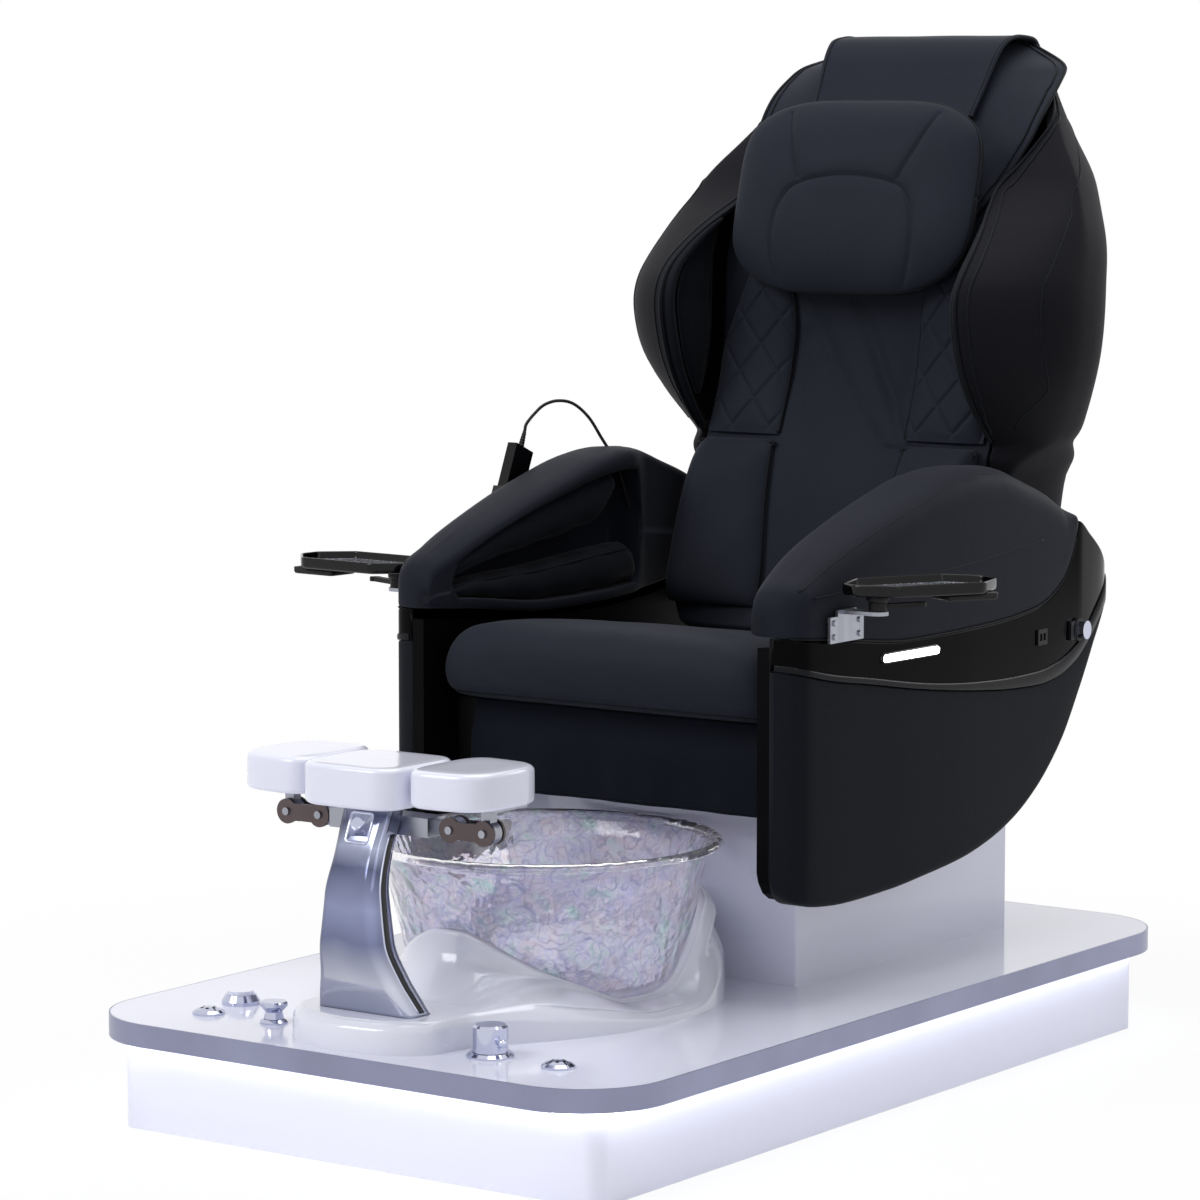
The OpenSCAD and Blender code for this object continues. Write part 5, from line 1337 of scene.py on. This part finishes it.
def build_pillow():
    arch = [
        (103, -137), (112, -110), (117, -84), (117, -50), (111, -20), (98, 2), (78, 14), (40, 22),
    ]
    seams = [
        [(126, 118), (114, 88), (103, 61), (92, 38), (84, 20)],
        [(-121, 118), (-111, 88), (-101, 61), (-92, 38), (-84, 20)],
        spline([(-x, z) for x, z in arch] + [(0, 25)] + arch[::-1], 4),
    ]

    def front(s, x, z):
        """Offset of the front face: a flat crown that rolls over at the edge."""
        o = -30 - 37 * np.maximum(0.0, 1 - s**3.2) ** 0.7 - sag(x)
        for line in seams:
            d = near(np.stack([x, z], -1), line)
            o = o + (3.6 * groove(d, 2.8) + 2.4 * groove(d, 11.0)) * (1 - s**14)
        return o + 0.7 * np.sin(x * 0.05) * np.sin(z * 0.045 + 0.6) * (1 - s**4)

    ox, oz = pillow_outline(360)

    def ring(s, off):
        return np.stack(on_pillow(s * ox, off, s * oz), -1)

    rings = []
    for i in range(1, 85):
        s = math.sin(math.pi / 2 * i / 84)
        rings.append(ring(s, front(s, s * ox, s * oz)))
    rings.append(ring(0.992, -18 - sag(0.992 * ox)))
    rings.append(ring(0.965, -10 - sag(0.965 * ox)))
    for s, off in ((0.91, -5), (0.78, -0.8), (0.5, 0.0), (0.02, 0.0)):
        rings.append(ring(s, off))
    obj = loft("head_cushion", rings, "leather", "back")
    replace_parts(obj, "head_pillow")
    for k, line in enumerate(seams):
        run = spline(line, 3)
        x, z = run[np.abs(run[:, 1]) < 128].T
        reach = np.minimum(1.0, np.hypot(x / PILLOW_HALF, z / PILLOW_TALL))
        line = np.stack(on_pillow(x, front(reach, x, z) - 0.2, z), -1)
        tube(f"pillow_seam_{k}", line, 0.75, "back", 6)
    for s, off, r, tag in ((1.0, -27, 2.0, "a"), (0.99, -16, 1.4, "b")):
        loop = ring(s, off - sag(s * ox))[::2]
        tube(f"pillow_welt_{tag}", np.vstack([loop, loop[:1]]), r, "back")


build_pillow()


# ---------------- flap over the top
def build_flap():
    path = spline([
        (594, 1296), (598, 1302), (617, 1330), (634, 1358), (652, 1386), (672, 1403),
        (700, 1409), (726, 1408.5), (745, 1405), (757, 1395),
    ], 8)
    d = np.gradient(path, axis=0)
    out = np.column_stack([-d[:, 1], d[:, 0]]) / np.linalg.norm(d, axis=1)[:, None]
    widen = 1 + 0.09 * np.clip((np.arange(len(path)) / 8 - 1) / 4, 0, 1)
    half = 138
    front, rear = [], []
    for x in np.linspace(-half, half, 90):
        u = abs(x) / half
        wave = 1.0 * math.sin(x * 0.05) + 2.0 * (1 - u * u)
        hem = 0.6 + 1.8 * (u > 0.965)
        front.append(np.column_stack([x * widen, path + out * (3.6 + 0.25 * wave + hem * 0.4)]))
        rear.append(np.column_stack([x * widen, path + out * 0.4]))
    obj = solid_sheet("crown_flap", front, rear, "leather", "back", flip=True)
    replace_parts(obj, "top_flap")
    for s in SIDES:
        line = np.column_stack([s * 133.0 * widen, path + out * 4.0])
        tube(f"flap_hem_{word(s)}", line, 1.3, "back", 6)
    run = float(along(path)[-1]) * MM


build_flap()


# ---------------- trays
def tray_outline(inset):
    """Oblong with cut and slightly rounded corners."""
    x0, x1, y0, y1, c = -42 + inset, 72 - inset, -52 + inset, 158 - inset, 40 - 0.6 * inset
    points = np.array([
        (x0 + c, y0), (x1 - c, y0), (x1, y0 + c), (x1, y1 - c),
        (x1 - c, y1), (x0 + c, y1), (x0, y1 - c), (x0, y0 + c),
    ])
    out, r = [], max(3.0, 8 - inset)
    for i, p in enumerate(points):
        a, b = (q - p for q in (points[i - 1], points[(i + 1) % 8]))
        out += corner(*(p + a / np.hypot(*a) * r), *p, *(p + b / np.hypot(*b) * r), 5)
    return np.array(out)


def build_tray(s, z0, swing):
    w, body = word(s), f"swing_tray_{word(s)}"
    c, q = math.cos(math.radians(-swing)), math.sin(math.radians(-swing))

    def place(x, y, z):
        return (s * (392 + x * c - y * q), -58 + x * q + y * c, z0 + z)

    def placed(outline, z):
        return np.stack(place(*outline.T, z + 0 * outline[:, 0]), -1)

    levels = [
        (7, 0.0), (2.2, 0.6), (0.6, 2.2), (0, 4.5), (0, 13), (0.5, 15.2), (1.6, 16.0),
        (2.6, 16.0), (3.6, 15.2), (4.1, 13.4), (4.3, 8.2), (5.6, 6.0),
    ]
    rings = [placed(tray_outline(inset), z) for inset, z in levels]
    obj = loft(f"tray_shell_{w}", rings, "tray", body, flip=s < 0, last=False)
    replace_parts(obj, f"tray_{w}")
    # speckled floor, a little dished
    levels = ((5.0, 6.4), (6.5, 5.5), (9, 5.1), (20, 5.05), (30, 5.0))
    rings = [placed(tray_outline(inset), z) for inset, z in levels]
    middle = rings[-1].mean(0)
    rings[-1] = middle + (rings[-1] - middle) * 0.5
    loft(f"tray_liner_{w}", rings, "liner", body, flip=s < 0, first=False)
    # hub and box under the tray
    hub = [(15, 0.3), (15, -9), (14, -11.4), (12.6, -12)]
    lathe(f"tray_hub_{w}", hub, place, "dull", body, flip=s > 0)
    rings = []
    for inset, z in ((0, 0.3), (0, -6), (1.2, -8.4), (3, -9)):
        rings.append(placed(rounded(26 - inset, 37 - inset, 5, 4) + [36, 107], z))
    loft(f"tray_catch_{w}", rings, "dull", body, flip=s > 0)


build_tray(1, 690.0, 30)
build_tray(-1, 672.0, 86)


# ---------------- light bars and handset keys
def build_light_frame(s):
    """Dark oblong frame round the lit tube, along the slope of the side."""
    slope = (side_half(105) - side_half(85)) / 20
    rings = []
    for r, out in ((7.4, 0.2), (7.4, 1.6), (6.4, 2.4), (5.2, 2.4), (5.0, 1.2)):
        c, q = np.cos(around(40)), np.sin(around(40))
        u = r * c + np.where(c >= 0, 60, -60)
        x = side_half(95) + out + u * slope
        rings.append(np.stack([s * x, 95 + u, 592 + r * q], -1))
    loft(
        f"light_frame_{word(s)}", rings, "inlay", "chair", flip=s < 0, first=False, last=False,
    )


for s in SIDES:
    build_light_frame(s)

KEY = [(4.4, 0.0), (4.2, 0.9), (3.4, 1.2)]
for row in range(3):
    for col in range(2):
        def place(x, y, z, across=-8 + col * 16, up=16 + row * 11):
            return in_holder(-8.05 - z, across + x, up + 0.7 * y)

        lathe(f"handset_key_{row}{col}", KEY, place, "grey", "chair", 16, flip=True)


# ---------------- finishes of the solids that stay
FINISH = {
    "plinth": ["plinth_box"],
    "white": ["deck_board", "pedestal_box", "button_cap"],
    "band": ["edge_band"],
    "led": ["led_strip"],
    "bar": ["light_bars"],
    "chrome": [
        "bowl_drain", "drain_grilles", "fitting_bases", "diverter_knob", "mixer_handle",
        "dial_knob",
    ],
    "steel": [
        "foot_brackets", "slide_rails", "pad_bracket_left", "pad_bracket_right", "tray_brackets",
        "actuator_rod",
    ],
    "brown": ["foot_link_left", "foot_link_right"],
    "brass": ["valve_bodies"],
    "grey": ["drain_pump", "control_box"],
    "frame": ["slide_carriage", "seat_frame", "back_frame"],
    "board": ["side_boards"],
    "dull": [
        "switch_panel", "actuator_body", "remote_holder", "tray_lever_left", "tray_lever_right",
        "massage_carriage",
    ],
    "tray": ["handset"],
    "cream": ["massage_rollers"],
}
for key, names in FINISH.items():
    for name in names:
        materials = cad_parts[name].data.materials
        for i in range(len(materials)):
            materials[i] = M[key]
        if not len(materials):
            materials.append(M[key])


# ---------------- floor
def build_floor():
    r, z = 30.0, -0.0005  # half side and height, in metres
    mesh = bpy.data.meshes.new("floor")
    mesh.from_pydata([(-r, -r, z), (r, -r, z), (r, r, z), (-r, r, z)], [], [(0, 1, 2, 3)])
    floor = link("floor", mesh, (0, 0, 0))
    material = bpy.data.materials.new("floor_pale")
    material.use_nodes = True
    tree = material.node_tree
    tree.nodes.clear()
    pale = add(tree, "ShaderNodeBsdfDiffuse", {"Color": (0.93, 0.93, 0.94, 1)})
    white = add(tree, "ShaderNodeEmission", {"Strength": 1.0})
    # near the chair an eighth of the floor is lit, for a soft shadow; far off it is plain white
    here = add(tree, "ShaderNodeTexCoord")
    far = add(tree, "ShaderNodeVectorMath", operation="LENGTH")
    span = {"From Min": 0.9, "From Max": 1.9, "To Min": 0.88, "To Max": 1.0}
    share = add(tree, "ShaderNodeMapRange", span, interpolation_type="SMOOTHSTEP")
    part = add(tree, "ShaderNodeMath", operation="MULTIPLY")
    tree.links.new(here.outputs["Object"], far.inputs[0])
    tree.links.new(far.outputs["Value"], share.inputs["Value"])
    tree.links.new(direct_rays(tree), part.inputs[0])
    tree.links.new(share.outputs["Result"], part.inputs[1])
    show(tree, part.outputs[0], pale, white, "ShaderNodeOutputMaterial")
    mesh.materials.append(material)


build_floor()
bpy.context.scene.view_settings.view_transform = "Standard"
